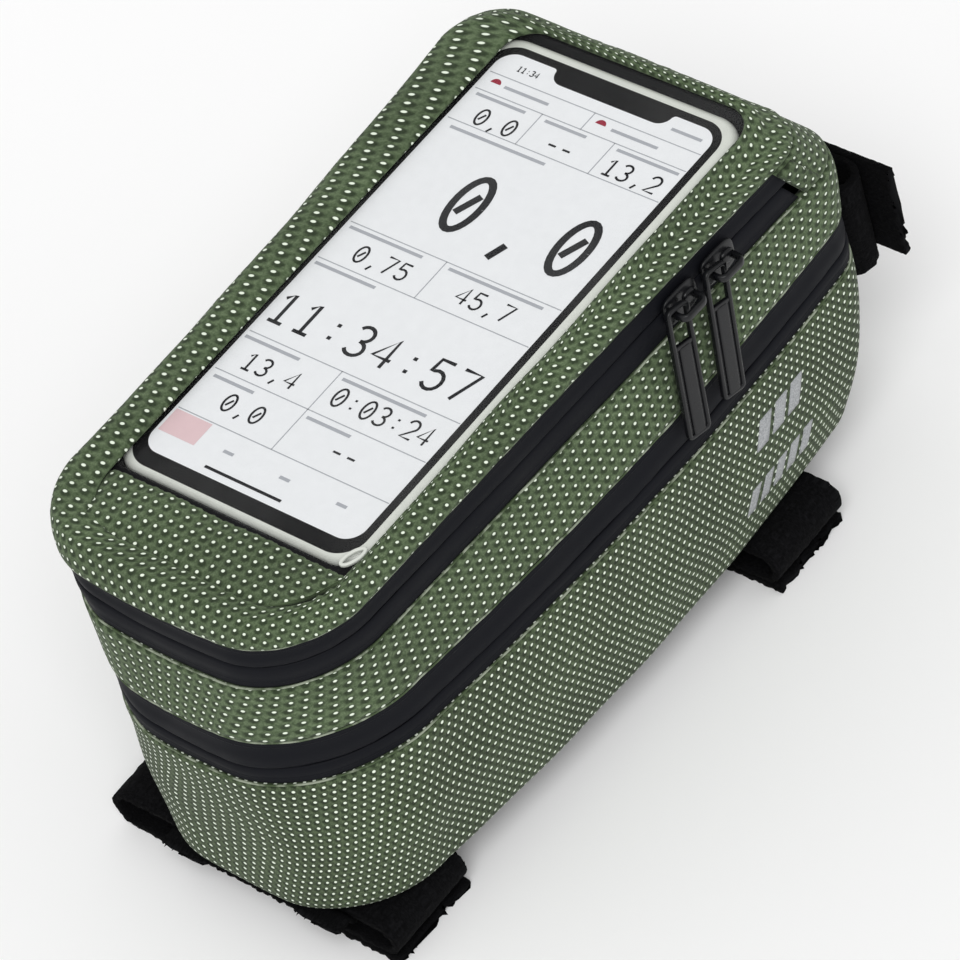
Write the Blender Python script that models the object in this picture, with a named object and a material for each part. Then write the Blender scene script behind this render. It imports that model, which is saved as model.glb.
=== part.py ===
"""Top tube phone bag with a clear phone window, an upper lid zip and a lower expansion zip.

X runs across the bag, +Y towards the bicycle's head tube, +Z up. The origin lies under the middle
of the bag, on the surface that its flattened strap loops rest on. All lengths are in metres.
"""

from typing import NamedTuple

import bmesh
import bpy
import numpy as np
from mathutils import Matrix, Vector

for old in list(bpy.data.objects):
    bpy.data.objects.remove(old, do_unlink=True)

MM = 0.001
GAP = 0.3 * MM  # air between two pieces that touch

# Phone and the pocket that holds it under the window
PHONE_WIDTH = 75.7 * MM
PHONE_LENGTH = 150.9 * MM
PHONE_THICKNESS = 8.3 * MM
PHONE_CORNER = 11.0 * MM
SCREEN_THICKNESS = 0.8 * MM
PHONE_SHIFT = 1.3 * MM  # the phone lies a little to the right in its pocket
POCKET_SIDE_ROOM = 1.7 * MM
POCKET_END_ROOM = 1.2 * MM
POCKET_WALL = 0.6 * MM
FILM_THICKNESS = 0.4 * MM
NEAR_PANEL_LENGTH = 16.0 * MM
NEAR_PANEL_THICKNESS = 2.2 * MM
OPENING_REAR_CORNER = 20.0 * MM
POCKET_CORNER = 8.0 * MM

# Heights of the bag's bands, from the straps up
STRAP_THICKNESS = 2.0 * MM
STRAP_LOOP_ROOM = 9.0 * MM
LOWER_WALL_HEIGHT = 49.0 * MM
LOWER_ZIP_HEIGHT = 15.0 * MM
BAND_HEIGHT = 19.0 * MM
UPPER_ZIP_HEIGHT = 14.7 * MM
RIM_HEIGHT = 7.8 * MM

# Plan of the bag
RIM_SIDE_WIDTH = 4.6 * MM  # lid edge beside the pocket, half way along
RIM_FRONT_WIDTH = 7.2 * MM
RIM_REAR_WIDTH = 6.0 * MM
SIDE_BULGE = 5.5 * MM  # how far the body swells past the lid's edge
FRONT_BULGE = 10.0 * MM
ZIP_END_SETBACK = 12.4 * MM  # from the lid's front edge back to the ends of its zip

# Fabric, foam and zip tape
WALL_THICKNESS = 3.0 * MM
BOTTOM_TURN_IN = 11.0 * MM
BOTTOM_EDGE_RADIUS = 3.0 * MM
BASE_THICKNESS = 2.5 * MM
STIFFENER_THICKNESS = 1.5 * MM
HINGE_FABRIC = 1.6 * MM
TAPE_THICKNESS = 1.0 * MM
TAPE_INSET = 0.6 * MM
TEETH_GAP = 1.0 * MM  # slit between the two halves of a zip
COIL_HEIGHT = 2.4 * MM
COIL_DEPTH = 2.0 * MM
LOWER_SEAM_SHARE = 0.36  # height of the lower zip's teeth in its band
GUSSET_THICKNESS = 0.8 * MM
GUSSET_FOLD = 5.0 * MM
GUSSET_SEAM = 5.0 * MM  # width sewn to the walls above and below
GUSSET_BEND = 3.0 * MM
TAB_LENGTH = 5.5 * MM
TAB_THICKNESS = 0.8 * MM

# Sliders and pulls
SLIDER_LENGTH = 11.5 * MM
SLIDER_HEIGHT = 8.6 * MM
SLIDER_PLATE = 1.2 * MM
SLIDER_BACK_HEIGHT = 5.6 * MM
SLIDER_WEB = 0.4 * MM
SLIDER_WEB_LENGTH = 5.0 * MM
SLIDER_EDGE = 0.45 * MM
SLIDER_CLEARANCE = 0.5 * MM
BRIDGE_LENGTH = 9.0 * MM
BRIDGE_WIDTH = 2.0 * MM
BRIDGE_BAR = 1.4 * MM
BRIDGE_ROOM = 3.6 * MM
PULL_LENGTH = 36.0 * MM
PULL_WIDTH = 7.6 * MM
PULL_THICKNESS = 1.6 * MM
PULL_RAIL = 1.2 * MM
PULL_WINDOW = 9.0 * MM
PULL_PLAY = 0.6 * MM
PULL_EDGE = 0.45 * MM
PULL_GROOVE = 0.6 * MM
PULL_GROOVE_WIDTH = 0.9 * MM
PULL_SWING = np.radians(12.0)  # the pulls hang a little towards the rider
PULL_LIFT = np.radians(4.0)  # and stand this far off the wall
NEAR_SLIDER_Y = 41.0 * MM
FAR_SLIDER_Y = 55.0 * MM
LOWER_SLIDER_Y = 40.0 * MM

# Straps
STRAP_WIDTH = 27.0 * MM
REAR_STRAP_Y = -79.0 * MM
FRONT_STRAP_Y = 55.0 * MM
REAR_STRAP_ENDS = (-51.0 * MM, 40.0 * MM)
FRONT_STRAP_ENDS = (-54.0 * MM, 54.0 * MM)
STRAP_OVERLAP = 52.0 * MM
GUIDE_THICKNESS = 1.2 * MM
GUIDE_WIDTH = 14.0 * MM
GUIDE_PLACE = 21.0 * MM  # from the middle of the base
GUIDE_SEAM = 5.0 * MM
HEAD_GUIDE_WIDTH = 34.0 * MM
HEAD_STRAP_WIDTH = 30.0 * MM
HEAD_STRAP_Z = 58.5 * MM
HEAD_STRAP_ENDS = (-44.0 * MM, 41.0 * MM)
HEAD_STRAP_ROOM = 10.0 * MM
HEAD_STRAP_OVERLAP = 48.0 * MM
HEAD_STRAP_TAIL = 6.0 * MM

# Sampling of the curved walls
CORNER_POINTS = 7
SIDE_POINTS = 5
FRONT_STRAIGHT_POINTS = 2
END_POINTS = 3

# Places worked out from the sizes above
BASE_Z = 2 * STRAP_THICKNESS + STRAP_LOOP_ROOM + GAP
LOWER_WALL_TOP = BASE_Z + LOWER_WALL_HEIGHT
BAND_BOTTOM = LOWER_WALL_TOP + LOWER_ZIP_HEIGHT
BAND_TOP = BAND_BOTTOM + BAND_HEIGHT
RIM_BOTTOM = BAND_TOP + UPPER_ZIP_HEIGHT
RIM_TOP = RIM_BOTTOM + RIM_HEIGHT
UPPER_SEAM_Z = BAND_TOP + UPPER_ZIP_HEIGHT / 2
LOWER_SEAM_Z = LOWER_WALL_TOP + LOWER_SEAM_SHARE * LOWER_ZIP_HEIGHT
SCREEN_Z = RIM_TOP - 2.4 * MM
PHONE_BOTTOM = SCREEN_Z - PHONE_THICKNESS
POCKET_FLOOR = PHONE_BOTTOM - GAP
PHONE_Y = 10.0 * MM
POCKET_HALF = PHONE_WIDTH / 2 + POCKET_SIDE_ROOM + POCKET_WALL
POCKET_REAR = PHONE_Y - PHONE_LENGTH / 2 - POCKET_END_ROOM - POCKET_WALL
POCKET_FRONT = PHONE_Y + PHONE_LENGTH / 2 + POCKET_END_ROOM + POCKET_WALL
OPENING_HALF = POCKET_HALF + GAP
OPENING_REAR = POCKET_REAR - GAP - NEAR_PANEL_LENGTH - GAP
OPENING_FRONT = POCKET_FRONT + GAP
OPENING_FRONT_CORNER = POCKET_CORNER + GAP
LID_HALF = OPENING_HALF + RIM_SIDE_WIDTH
LID_FRONT = OPENING_FRONT + RIM_FRONT_WIDTH
LID_REAR = OPENING_REAR - RIM_REAR_WIDTH
ZIP_END = LID_FRONT - ZIP_END_SETBACK


class Section(NamedTuple):
    """Plan outline of the bag at one height: half widths at the rear corner, the middle and the
    front corner, the end lines, the rear end's outward bow, and the corners' radii."""

    height: float
    rear_half: float
    middle_half: float
    front_half: float
    rear: float
    front: float
    bow: float
    rear_corner_x: float
    rear_corner_y: float
    front_corner: float
    zip_end: float


def section(height, rear_tuck, middle_tuck, front_tuck, rear_step, front_step, bow, corners, zip_step):
    """A section given by how far it is tucked in from the lid's half width, and how far its ends
    step out from the lid's ends."""
    return Section(
        height,
        LID_HALF - rear_tuck * MM,
        LID_HALF - middle_tuck,
        LID_HALF - front_tuck * MM,
        LID_REAR - rear_step * MM,
        LID_FRONT + front_step,
        bow * MM,
        corners[0] * MM,
        corners[1] * MM,
        corners[2] * MM,
        ZIP_END + zip_step * MM,
    )


# From the base to the lid's crest. Lengths without a name are in millimetres.
MIDDLE_Z = BASE_Z + LOWER_WALL_HEIGHT / 2
SECTIONS = [
    section(BASE_Z, 5.6, -0.2 * SIDE_BULGE, 1.0, 4.0, 0.0, 5.0, (28, 26, 15), 0.0),
    section(MIDDLE_Z, 2.0, -0.85 * SIDE_BULGE, -4.0, 2.0, 0.7 * FRONT_BULGE, 6.5, (28, 28, 14), 4.0),
    section(LOWER_WALL_TOP, 0.6, -SIDE_BULGE, -4.0, 0.0, FRONT_BULGE, 9.5, (33, 32, 13), 4.0),
    section(BAND_BOTTOM, 0.8, -0.9 * SIDE_BULGE, -4.2, 0.0, FRONT_BULGE, 8.5, (31, 30, 13), 4.0),
    section(BAND_TOP, 2.5, -0.2 * SIDE_BULGE, -4.4, 0.0, FRONT_BULGE, 6.0, (25, 26, 13), 0.0),
    section(RIM_BOTTOM, 1.5, -0.14 * SIDE_BULGE, -4.0, 0.0, 0.0, 5.0, (22, 23, 12), 0.0),
    section(RIM_TOP, 3.5, 0.4 * SIDE_BULGE, -2.6, -1.5, -0.5 * FRONT_BULGE, 3.0, (18, 19, 15), -0.5),
]


def section_at(height):
    """The section at any height, by a cubic curve through the given ones, straight across the zip."""
    heights = np.array([row.height for row in SECTIONS])
    table = np.array(SECTIONS)
    slopes = np.gradient(table, heights, axis=0)
    lower = int(np.clip(np.searchsorted(heights, height) - 1, 0, len(heights) - 2))
    span = heights[lower + 1] - heights[lower]
    t = np.clip((height - heights[lower]) / span, 0.0, 1.0)
    straight = lower == len(heights) - 3 or lower == len(heights) - 2
    ends = table[lower], table[lower + 1]
    if straight:
        return Section(*(ends[0] + (ends[1] - ends[0]) * t))
    tangents = slopes[lower] * span, slopes[lower + 1] * span
    row = (2 * t**3 - 3 * t**2 + 1) * ends[0] + (t**3 - 2 * t**2 + t) * tangents[0]
    row = row + (3 * t**2 - 2 * t**3) * ends[1] + (t**3 - t**2) * tangents[1]
    row[0] = height
    return Section(*row)


def side_half(plan, y):
    """Half width of a section at y, a parabola through its three half widths."""
    start = plan.rear + plan.rear_corner_y
    end = plan.front - plan.front_corner
    t = (y - start) / (end - start)
    middle = plan.middle_half - (plan.rear_half + plan.front_half) / 2
    return plan.rear_half + (plan.front_half - plan.rear_half) * t + 4 * middle * t * (1 - t)


def mirrored_outline(right, front_y, rear_y, bow, bow_limit):
    """Close a right-hand half outline by mirroring it and adding the two ends' inner points."""
    left = right[::-1] * [-1, 1]
    front_x = np.linspace(right[-1, 0], left[0, 0], END_POINTS + 2)[1:-1]
    rear_x = np.linspace(left[-1, 0], right[0, 0], END_POINTS + 2)[1:-1]
    front = np.column_stack([front_x, np.full(END_POINTS, front_y)])
    rear = np.column_stack([rear_x, np.full(END_POINTS, rear_y)])
    outline = np.concatenate([right, front, left, rear])
    behind = outline[:, 1] < bow_limit
    reach = np.abs(outline[behind, 0]) / np.abs(right[:, 0]).max()
    outline[behind, 1] -= bow * (1 - np.clip(reach, 0, 1) ** 2)
    return outline


def outline(height, inset=0.0):
    """Closed plan outline at a height, moved inwards by inset, from the rear right corner round by
    the right side, the front, the left side and the rear. All outlines have the same points."""
    plan = section_at(height)
    corner_x = max(plan.rear_corner_x - inset, 1 * MM)
    corner_y = max(plan.rear_corner_y - inset, 1 * MM)
    front_corner = max(plan.front_corner - inset, 1 * MM)
    rear = plan.rear + inset
    front = plan.front - inset
    side_start = rear + corner_y
    side_end = front - front_corner
    turn = np.linspace(-np.pi / 2, 0, CORNER_POINTS)
    start_half = side_half(plan, side_start) - inset
    end_half = side_half(plan, side_end) - inset
    rear_corner = np.column_stack([
        start_half - corner_x + corner_x * np.cos(turn),
        side_start + corner_y * np.sin(turn),
    ])
    zip_end = min(plan.zip_end, side_end - 0.4 * MM)
    side_y = np.linspace(side_start, zip_end, SIDE_POINTS + 1)[1:]
    beyond_y = np.linspace(zip_end, side_end, FRONT_STRAIGHT_POINTS + 1)[1:-1]
    along = np.concatenate([side_y, beyond_y])
    side = np.column_stack([side_half(plan, along) - inset, along])
    turn = np.linspace(0, np.pi / 2, CORNER_POINTS)
    front_turn = np.column_stack([
        end_half - front_corner + front_corner * np.cos(turn),
        side_end + front_corner * np.sin(turn),
    ])
    right = np.concatenate([rear_corner, side, front_turn])
    return mirrored_outline(right, front, rear, plan.bow, side_start)


def rounded_plan(half, rear, front, rear_corner, front_corner):
    """A rounded rectangle with the same points, in the same order, as an outline."""
    turn = np.linspace(-np.pi / 2, 0, CORNER_POINTS)
    start = np.column_stack([
        half - rear_corner + rear_corner * np.cos(turn),
        rear + rear_corner + rear_corner * np.sin(turn),
    ])
    steps = SIDE_POINTS + FRONT_STRAIGHT_POINTS + 1
    along = np.linspace(rear + rear_corner, front - front_corner, steps)
    side = np.column_stack([np.full(len(along) - 2, half), along[1:-1]])
    turn = np.linspace(0, np.pi / 2, CORNER_POINTS)
    end = np.column_stack([
        half - front_corner + front_corner * np.cos(turn),
        front - front_corner + front_corner * np.sin(turn),
    ])
    right = np.concatenate([start, side, end])
    return mirrored_outline(right, front, rear, 0.0, -1.0)


def at_height(points, height):
    """Plan points as points in space."""
    return np.column_stack([points, np.full(len(points), height)])


# Numbers of the outline's points at which the upper zip ends, and the runs between them
HALF_POINTS = 2 * CORNER_POINTS + SIDE_POINTS + FRONT_STRAIGHT_POINTS - 1
POINTS = 2 * HALF_POINTS + 2 * END_POINTS
RIGHT_ZIP_END = CORNER_POINTS + SIDE_POINTS - 1
LEFT_ZIP_END = 2 * HALF_POINTS + END_POINTS - 1 - RIGHT_ZIP_END
ZIP_RUN = list(range(LEFT_ZIP_END, POINTS)) + list(range(RIGHT_ZIP_END + 1))
FRONT_RUN = list(range(RIGHT_ZIP_END, LEFT_ZIP_END + 1))


def material(name, color, roughness, metallic=0.0, alpha=1.0):
    """A Principled material with the piece's colour and finish."""
    made = bpy.data.materials.new(name)
    made.use_nodes = True
    shader = made.node_tree.nodes["Principled BSDF"]
    shader.inputs["Base Color"].default_value = (*color, 1.0)
    shader.inputs["Roughness"].default_value = roughness
    shader.inputs["Metallic"].default_value = metallic
    shader.inputs["Alpha"].default_value = alpha
    made.diffuse_color = (*color, alpha)
    return made


FABRIC = material("green_fabric", (0.062, 0.115, 0.048), 0.85)
TAPE = material("zip_tape", (0.012, 0.012, 0.014), 0.6)
COIL = material("zip_coil", (0.010, 0.010, 0.011), 0.4)
LINING = material("black_lining", (0.015, 0.015, 0.016), 0.9)
BOARD = material("base_board", (0.03, 0.03, 0.03), 0.5)
FILM = material("window_film", (0.9, 0.92, 0.92), 0.08, alpha=0.2)
METAL = material("black_metal", (0.015, 0.015, 0.016), 0.25, metallic=0.6)
WEBBING = material("hook_and_loop", (0.006, 0.006, 0.007), 0.95)
PHONE_SHELL = material("phone_shell", (0.72, 0.74, 0.70), 0.35)
PHONE_GLASS = material("phone_glass", (0.80, 0.81, 0.81), 0.12)


def piece(name, points, faces, finish, origin=(0.0, 0.0, 0.0), parent=None, smooth=True):
    """One named object from world points, with its origin at a given point."""
    shape = bmesh.new()
    verts = [shape.verts.new(Vector(point) - Vector(origin)) for point in points]
    for face in faces:
        shape.faces.new([verts[index] for index in face])
    bmesh.ops.recalc_face_normals(shape, faces=shape.faces)
    mesh = bpy.data.meshes.new(name)
    shape.to_mesh(mesh)
    shape.free()
    if smooth:
        mesh.shade_smooth()
        mesh.set_sharp_from_angle(angle=np.radians(40.0))
    made = bpy.data.objects.new(name, mesh)
    bpy.context.scene.collection.objects.link(made)
    made.data.materials.append(finish)
    made.location = origin
    if parent is not None:
        made.parent = parent
        made.location = Vector(origin) - parent.location
    return made


def swept(name, rings, finish, run=None, parent=None, origin=(0.0, 0.0, 0.0)):
    """A band whose cross-section's corners are closed rings, round the bag or along a run of it."""
    closed = run is None
    stack = np.array(rings if closed else [np.asarray(ring)[run] for ring in rings])
    levels, count = stack.shape[:2]
    faces = []
    for level in range(levels):
        above = (level + 1) % levels
        for step in range(count if closed else count - 1):
            after = (step + 1) % count
            here = level * count
            faces.append((here + step, here + after, above * count + after, above * count + step))
    if not closed:
        faces.append([level * count for level in range(levels)])
        faces.append([level * count + count - 1 for level in range(levels)])
    return piece(name, stack.reshape(-1, 3), faces, finish, origin, parent)


def stacked(name, rings, finish, parent=None, origin=(0.0, 0.0, 0.0)):
    """A plate or block: rings one above the other, closed by a face at each end."""
    stack = np.array(rings)
    levels, count = stack.shape[:2]
    faces = [list(range(count)), list(range((levels - 1) * count, levels * count))]
    for level in range(levels - 1):
        for step in range(count):
            after = (step + 1) % count
            faces.append((level * count + step, level * count + after,
                          (level + 1) * count + after, (level + 1) * count + step))
    return piece(name, stack.reshape(-1, 3), faces, finish, origin, parent)


def wall(name, profile, finish, run=None, parent=None):
    """A wall of the bag, from its cross-section given as (inset, height) corners."""
    rings = [at_height(outline(height, inset), height) for inset, height in profile]
    return swept(name, rings, finish, run, parent)


def empty(name, place):
    """A joint's place, to which the moving pieces are parented."""
    made = bpy.data.objects.new(name, None)
    bpy.context.scene.collection.objects.link(made)
    made.location = place
    return made


def lower_body():
    """Padded lower wall with its turned-in bottom edge, base panel and stiffening board."""
    top = LOWER_WALL_TOP - GAP
    levels = np.linspace(top, BASE_Z + 2 * BOTTOM_EDGE_RADIUS, 5)
    profile = [(0.0, level) for level in levels]
    for turn in np.radians((30.0, 60.0, 90.0)):
        inset = BOTTOM_EDGE_RADIUS * (1 - np.cos(turn))
        profile.append((inset, BASE_Z + BOTTOM_EDGE_RADIUS * (1 - np.sin(turn))))
    profile.append((BOTTOM_TURN_IN, BASE_Z))
    profile.append((BOTTOM_TURN_IN, BASE_Z + BASE_THICKNESS))
    profile.append((WALL_THICKNESS + 2 * MM, BASE_Z + BASE_THICKNESS))
    profile.append((WALL_THICKNESS, BASE_Z + BASE_THICKNESS + 2 * MM))
    profile += [(WALL_THICKNESS, level) for level in levels[-2::-1]]
    wall("lower_wall", profile, FABRIC)
    panel = outline(BASE_Z, BOTTOM_TURN_IN + GAP)
    stacked("base_panel", [at_height(panel, BASE_Z), at_height(panel, BASE_Z + BASE_THICKNESS)], LINING)
    board = outline(BASE_Z, WALL_THICKNESS + 3 * MM)
    board_bottom = BASE_Z + BASE_THICKNESS + GAP
    stacked("base_board", [at_height(board, board_bottom),
                           at_height(board, board_bottom + STIFFENER_THICKNESS)], BOARD)


def zip_half(name, seam, edge, run, parent):
    """One half of a zip: its coated tape, and the coil sewn behind the tape's toothed edge."""
    direction = 1 if edge > seam else -1
    toothed = seam + direction * TEETH_GAP / 2
    sewn = edge - direction * GAP
    tape = [(TAPE_INSET, toothed), (TAPE_INSET, sewn),
            (TAPE_INSET + TAPE_THICKNESS, sewn), (TAPE_INSET + TAPE_THICKNESS, toothed)]
    wall(name + "_tape", tape, TAPE, run, parent)
    front = TAPE_INSET + TAPE_THICKNESS + GAP
    coil_end = toothed + direction * COIL_HEIGHT
    back = front + COIL_DEPTH
    coil = [(front, toothed), (front, coil_end), (back, coil_end), (back, toothed)]
    wall(name + "_coil", coil, COIL, run, parent)


def middle_body():
    """Lower zip, the gusset folded behind it, the middle band and the fabric that hinges the lid."""
    zip_half("lower_zip_bottom", LOWER_SEAM_Z, LOWER_WALL_TOP, None, None)
    zip_half("lower_zip_top", LOWER_SEAM_Z, BAND_BOTTOM, None, None)
    start = WALL_THICKNESS + GAP
    fold = start + GUSSET_FOLD
    low = LOWER_WALL_TOP - GUSSET_SEAM
    high = BAND_BOTTOM + GUSSET_SEAM
    bend = GUSSET_BEND
    outer = [(start, low), (start, LOWER_WALL_TOP - bend), (fold, LOWER_WALL_TOP + bend),
             (fold, BAND_BOTTOM - bend), (start, BAND_BOTTOM + bend), (start, high)]
    inner = [(inset + GUSSET_THICKNESS, level) for inset, level in outer[::-1]]
    wall("expansion_gusset", outer + inner, LINING)
    levels = np.linspace(BAND_BOTTOM + GAP, BAND_TOP - GAP, 4)
    band = [(0.0, level) for level in levels] + [(WALL_THICKNESS, level) for level in levels[::-1]]
    wall("middle_band", band, FABRIC)
    levels = np.linspace(BAND_TOP + GAP, RIM_BOTTOM - GAP, 3)
    hinge = [(0.0, level) for level in levels] + [(HINGE_FABRIC, level) for level in levels[::-1]]
    wall("lid_hinge_fabric", hinge, FABRIC, FRONT_RUN[1:-1])


def end_tab(name, side):
    """Fabric tab sewn over one end of the upper zip, just ahead of its tape."""
    rows = []
    for height in (BAND_TOP + 1 * MM, UPPER_SEAM_Z, RIM_BOTTOM - 1 * MM):
        plan = section_at(height)
        start = min(plan.zip_end, plan.front - plan.front_corner) + 0.5 * MM
        corner = plan.front_corner
        steps = start + TAB_LENGTH * np.array((0.0, 0.35, 0.7, 1.0))
        row = []
        for y in steps:
            past = max(y - (plan.front - corner), 0.0)
            drop = corner - np.sqrt(max(corner**2 - past**2, 0.0))
            row.append((side_half(plan, min(y, plan.front - corner)) - drop, y, height))
        rows.append(np.array(row))
    inner = [row + [GAP, 0, 0] for row in rows]
    outer = [row + [GAP + TAB_THICKNESS, 0, 0] for row in rows]
    loops = [np.concatenate([near, far[::-1]]) * [side, 1, 1] for near, far in zip(inner, outer)]
    stacked(name, loops, FABRIC)


def lid(hinge):
    """Padded rim, near panel, clear window film, phone pocket and the upper half of the lid's zip."""
    opening = rounded_plan(OPENING_HALF, OPENING_REAR, OPENING_FRONT,
                           OPENING_REAR_CORNER, OPENING_FRONT_CORNER)
    shoulder = RIM_BOTTOM + 0.55 * RIM_HEIGHT
    brow = RIM_BOTTOM + 0.86 * RIM_HEIGHT
    crest_outer = outline(RIM_TOP)
    rings = [
        at_height(outline(RIM_BOTTOM), RIM_BOTTOM),
        at_height(outline(RIM_BOTTOM + 0.25 * RIM_HEIGHT, -0.2 * MM), RIM_BOTTOM + 0.3 * RIM_HEIGHT),
        at_height(outline(shoulder), shoulder),
        at_height(outline(RIM_TOP, 0.1 * MM), brow),
        at_height(crest_outer * 0.65 + opening * 0.35, RIM_TOP),
        at_height(crest_outer * 0.2 + opening * 0.8, RIM_TOP - 0.3 * MM),
        at_height(opening, RIM_TOP - 1.2 * MM),
        at_height(opening, RIM_BOTTOM),
    ]
    swept("lid_rim", rings, FABRIC, None, hinge)
    zip_half("upper_zip_top", UPPER_SEAM_Z, RIM_BOTTOM, ZIP_RUN, hinge)

    film_z = SCREEN_Z + GAP
    film = rounded_plan(POCKET_HALF, POCKET_REAR, POCKET_FRONT, POCKET_CORNER, POCKET_CORNER)
    stacked("window_film", [at_height(film, film_z), at_height(film, film_z + FILM_THICKNESS)], FILM, hinge)

    pocket_top = film_z - GAP
    bottom = POCKET_FLOOR - POCKET_WALL
    inner_corner = POCKET_CORNER - POCKET_WALL
    inner = rounded_plan(POCKET_HALF - POCKET_WALL, POCKET_REAR + POCKET_WALL, POCKET_FRONT - POCKET_WALL,
                         inner_corner, inner_corner)
    stacked("phone_pocket", [at_height(inner, POCKET_FLOOR), at_height(inner, pocket_top),
                             at_height(film, pocket_top), at_height(film, bottom)], LINING, hinge)

    half = OPENING_HALF - GAP
    rear = OPENING_REAR + GAP
    front = POCKET_REAR - GAP
    radius = OPENING_REAR_CORNER - GAP
    turn = np.linspace(-np.pi / 2, 0, CORNER_POINTS)
    right = np.column_stack([half - radius + radius * np.cos(turn), rear + radius + radius * np.sin(turn)])
    right = np.concatenate([right[right[:, 1] < front - 1 * MM], [[half, front]]])
    right[-1, 0] = half - radius + np.sqrt(max(radius**2 - max(rear + radius - front, 0.0) ** 2, 0.0))
    plate = np.concatenate([right, right[::-1] * [-1, 1]])
    top = film_z + FILM_THICKNESS + GAP
    bottom = top - NEAR_PANEL_THICKNESS
    stacked("near_panel", [at_height(plate, bottom), at_height(plate, top)], FABRIC, hinge)


def phone(hinge):
    """The phone in the pocket: its shell, and the glass of its screen lying in the shell's rim."""
    half = PHONE_WIDTH / 2
    rear = PHONE_Y - PHONE_LENGTH / 2
    front = PHONE_Y + PHONE_LENGTH / 2
    edge = 1.2 * MM

    def ring(inset, height):
        corner = PHONE_CORNER - inset
        plan = rounded_plan(half - inset, rear + inset, front - inset, corner, corner)
        return at_height(plan + [PHONE_SHIFT, 0], height)

    seat = SCREEN_Z - SCREEN_THICKNESS - GAP
    lip = 2.6 * MM
    stacked("phone_body", [
        ring(lip, seat), ring(lip, SCREEN_Z - 0.1 * MM), ring(edge, SCREEN_Z), ring(0.0, SCREEN_Z - edge),
        ring(0.0, PHONE_BOTTOM + edge), ring(edge, PHONE_BOTTOM),
    ], PHONE_SHELL, hinge)
    stacked("phone_screen", [ring(lip + GAP, SCREEN_Z - SCREEN_THICKNESS), ring(lip + GAP, SCREEN_Z)],
            PHONE_GLASS, hinge)


def block(size, place):
    """Corners and faces of a box with its centre at a place."""
    corners = np.array([(x, y, z) for x in (-0.5, 0.5) for y in (-0.5, 0.5) for z in (-0.5, 0.5)])
    faces = [(0, 1, 3, 2), (4, 6, 7, 5), (0, 4, 5, 1), (2, 3, 7, 6), (0, 2, 6, 4), (1, 5, 7, 3)]
    return corners * size + place, faces


def prism(profile, width):
    """Corners and faces of a profile, in the zip's direction and outwards, with a width up the wall."""
    count = len(profile)
    points = [(u, v, w) for v in (-width / 2, width / 2) for u, w in profile]
    faces = [list(range(count)), list(range(count, 2 * count))]
    for step in range(count):
        after = (step + 1) % count
        faces.append((step, after, count + after, count + step))
    return points, faces


def rounded(target, width):
    """Small rounded edges."""
    modifier = target.modifiers.new("edges", "BEVEL")
    modifier.width = width
    modifier.segments = 2


def combined(target, other, operation):
    """Join or cut one mesh object with another, which stays hidden."""
    modifier = target.modifiers.new(operation.lower(), "BOOLEAN")
    modifier.operation = operation
    modifier.object = other
    modifier.solver = "EXACT"
    other.hide_render = True


def zip_frame(height, y, side):
    """Place and axes at a zip's seam: along the run to the front, up, and out from the wall."""
    plan = section_at(height)
    step = 1 * MM
    here = side_half(plan, y) - TAPE_INSET
    slope = (side_half(plan, y + step) - side_half(plan, y - step)) / (2 * step)
    along = Vector((side * slope, 1.0, 0.0)).normalized()
    upward = Vector((0.0, 0.0, 1.0))
    outward = Vector((side, -slope, 0.0)).normalized()
    return Vector((side * here, y, height)), along, upward, outward


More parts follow.
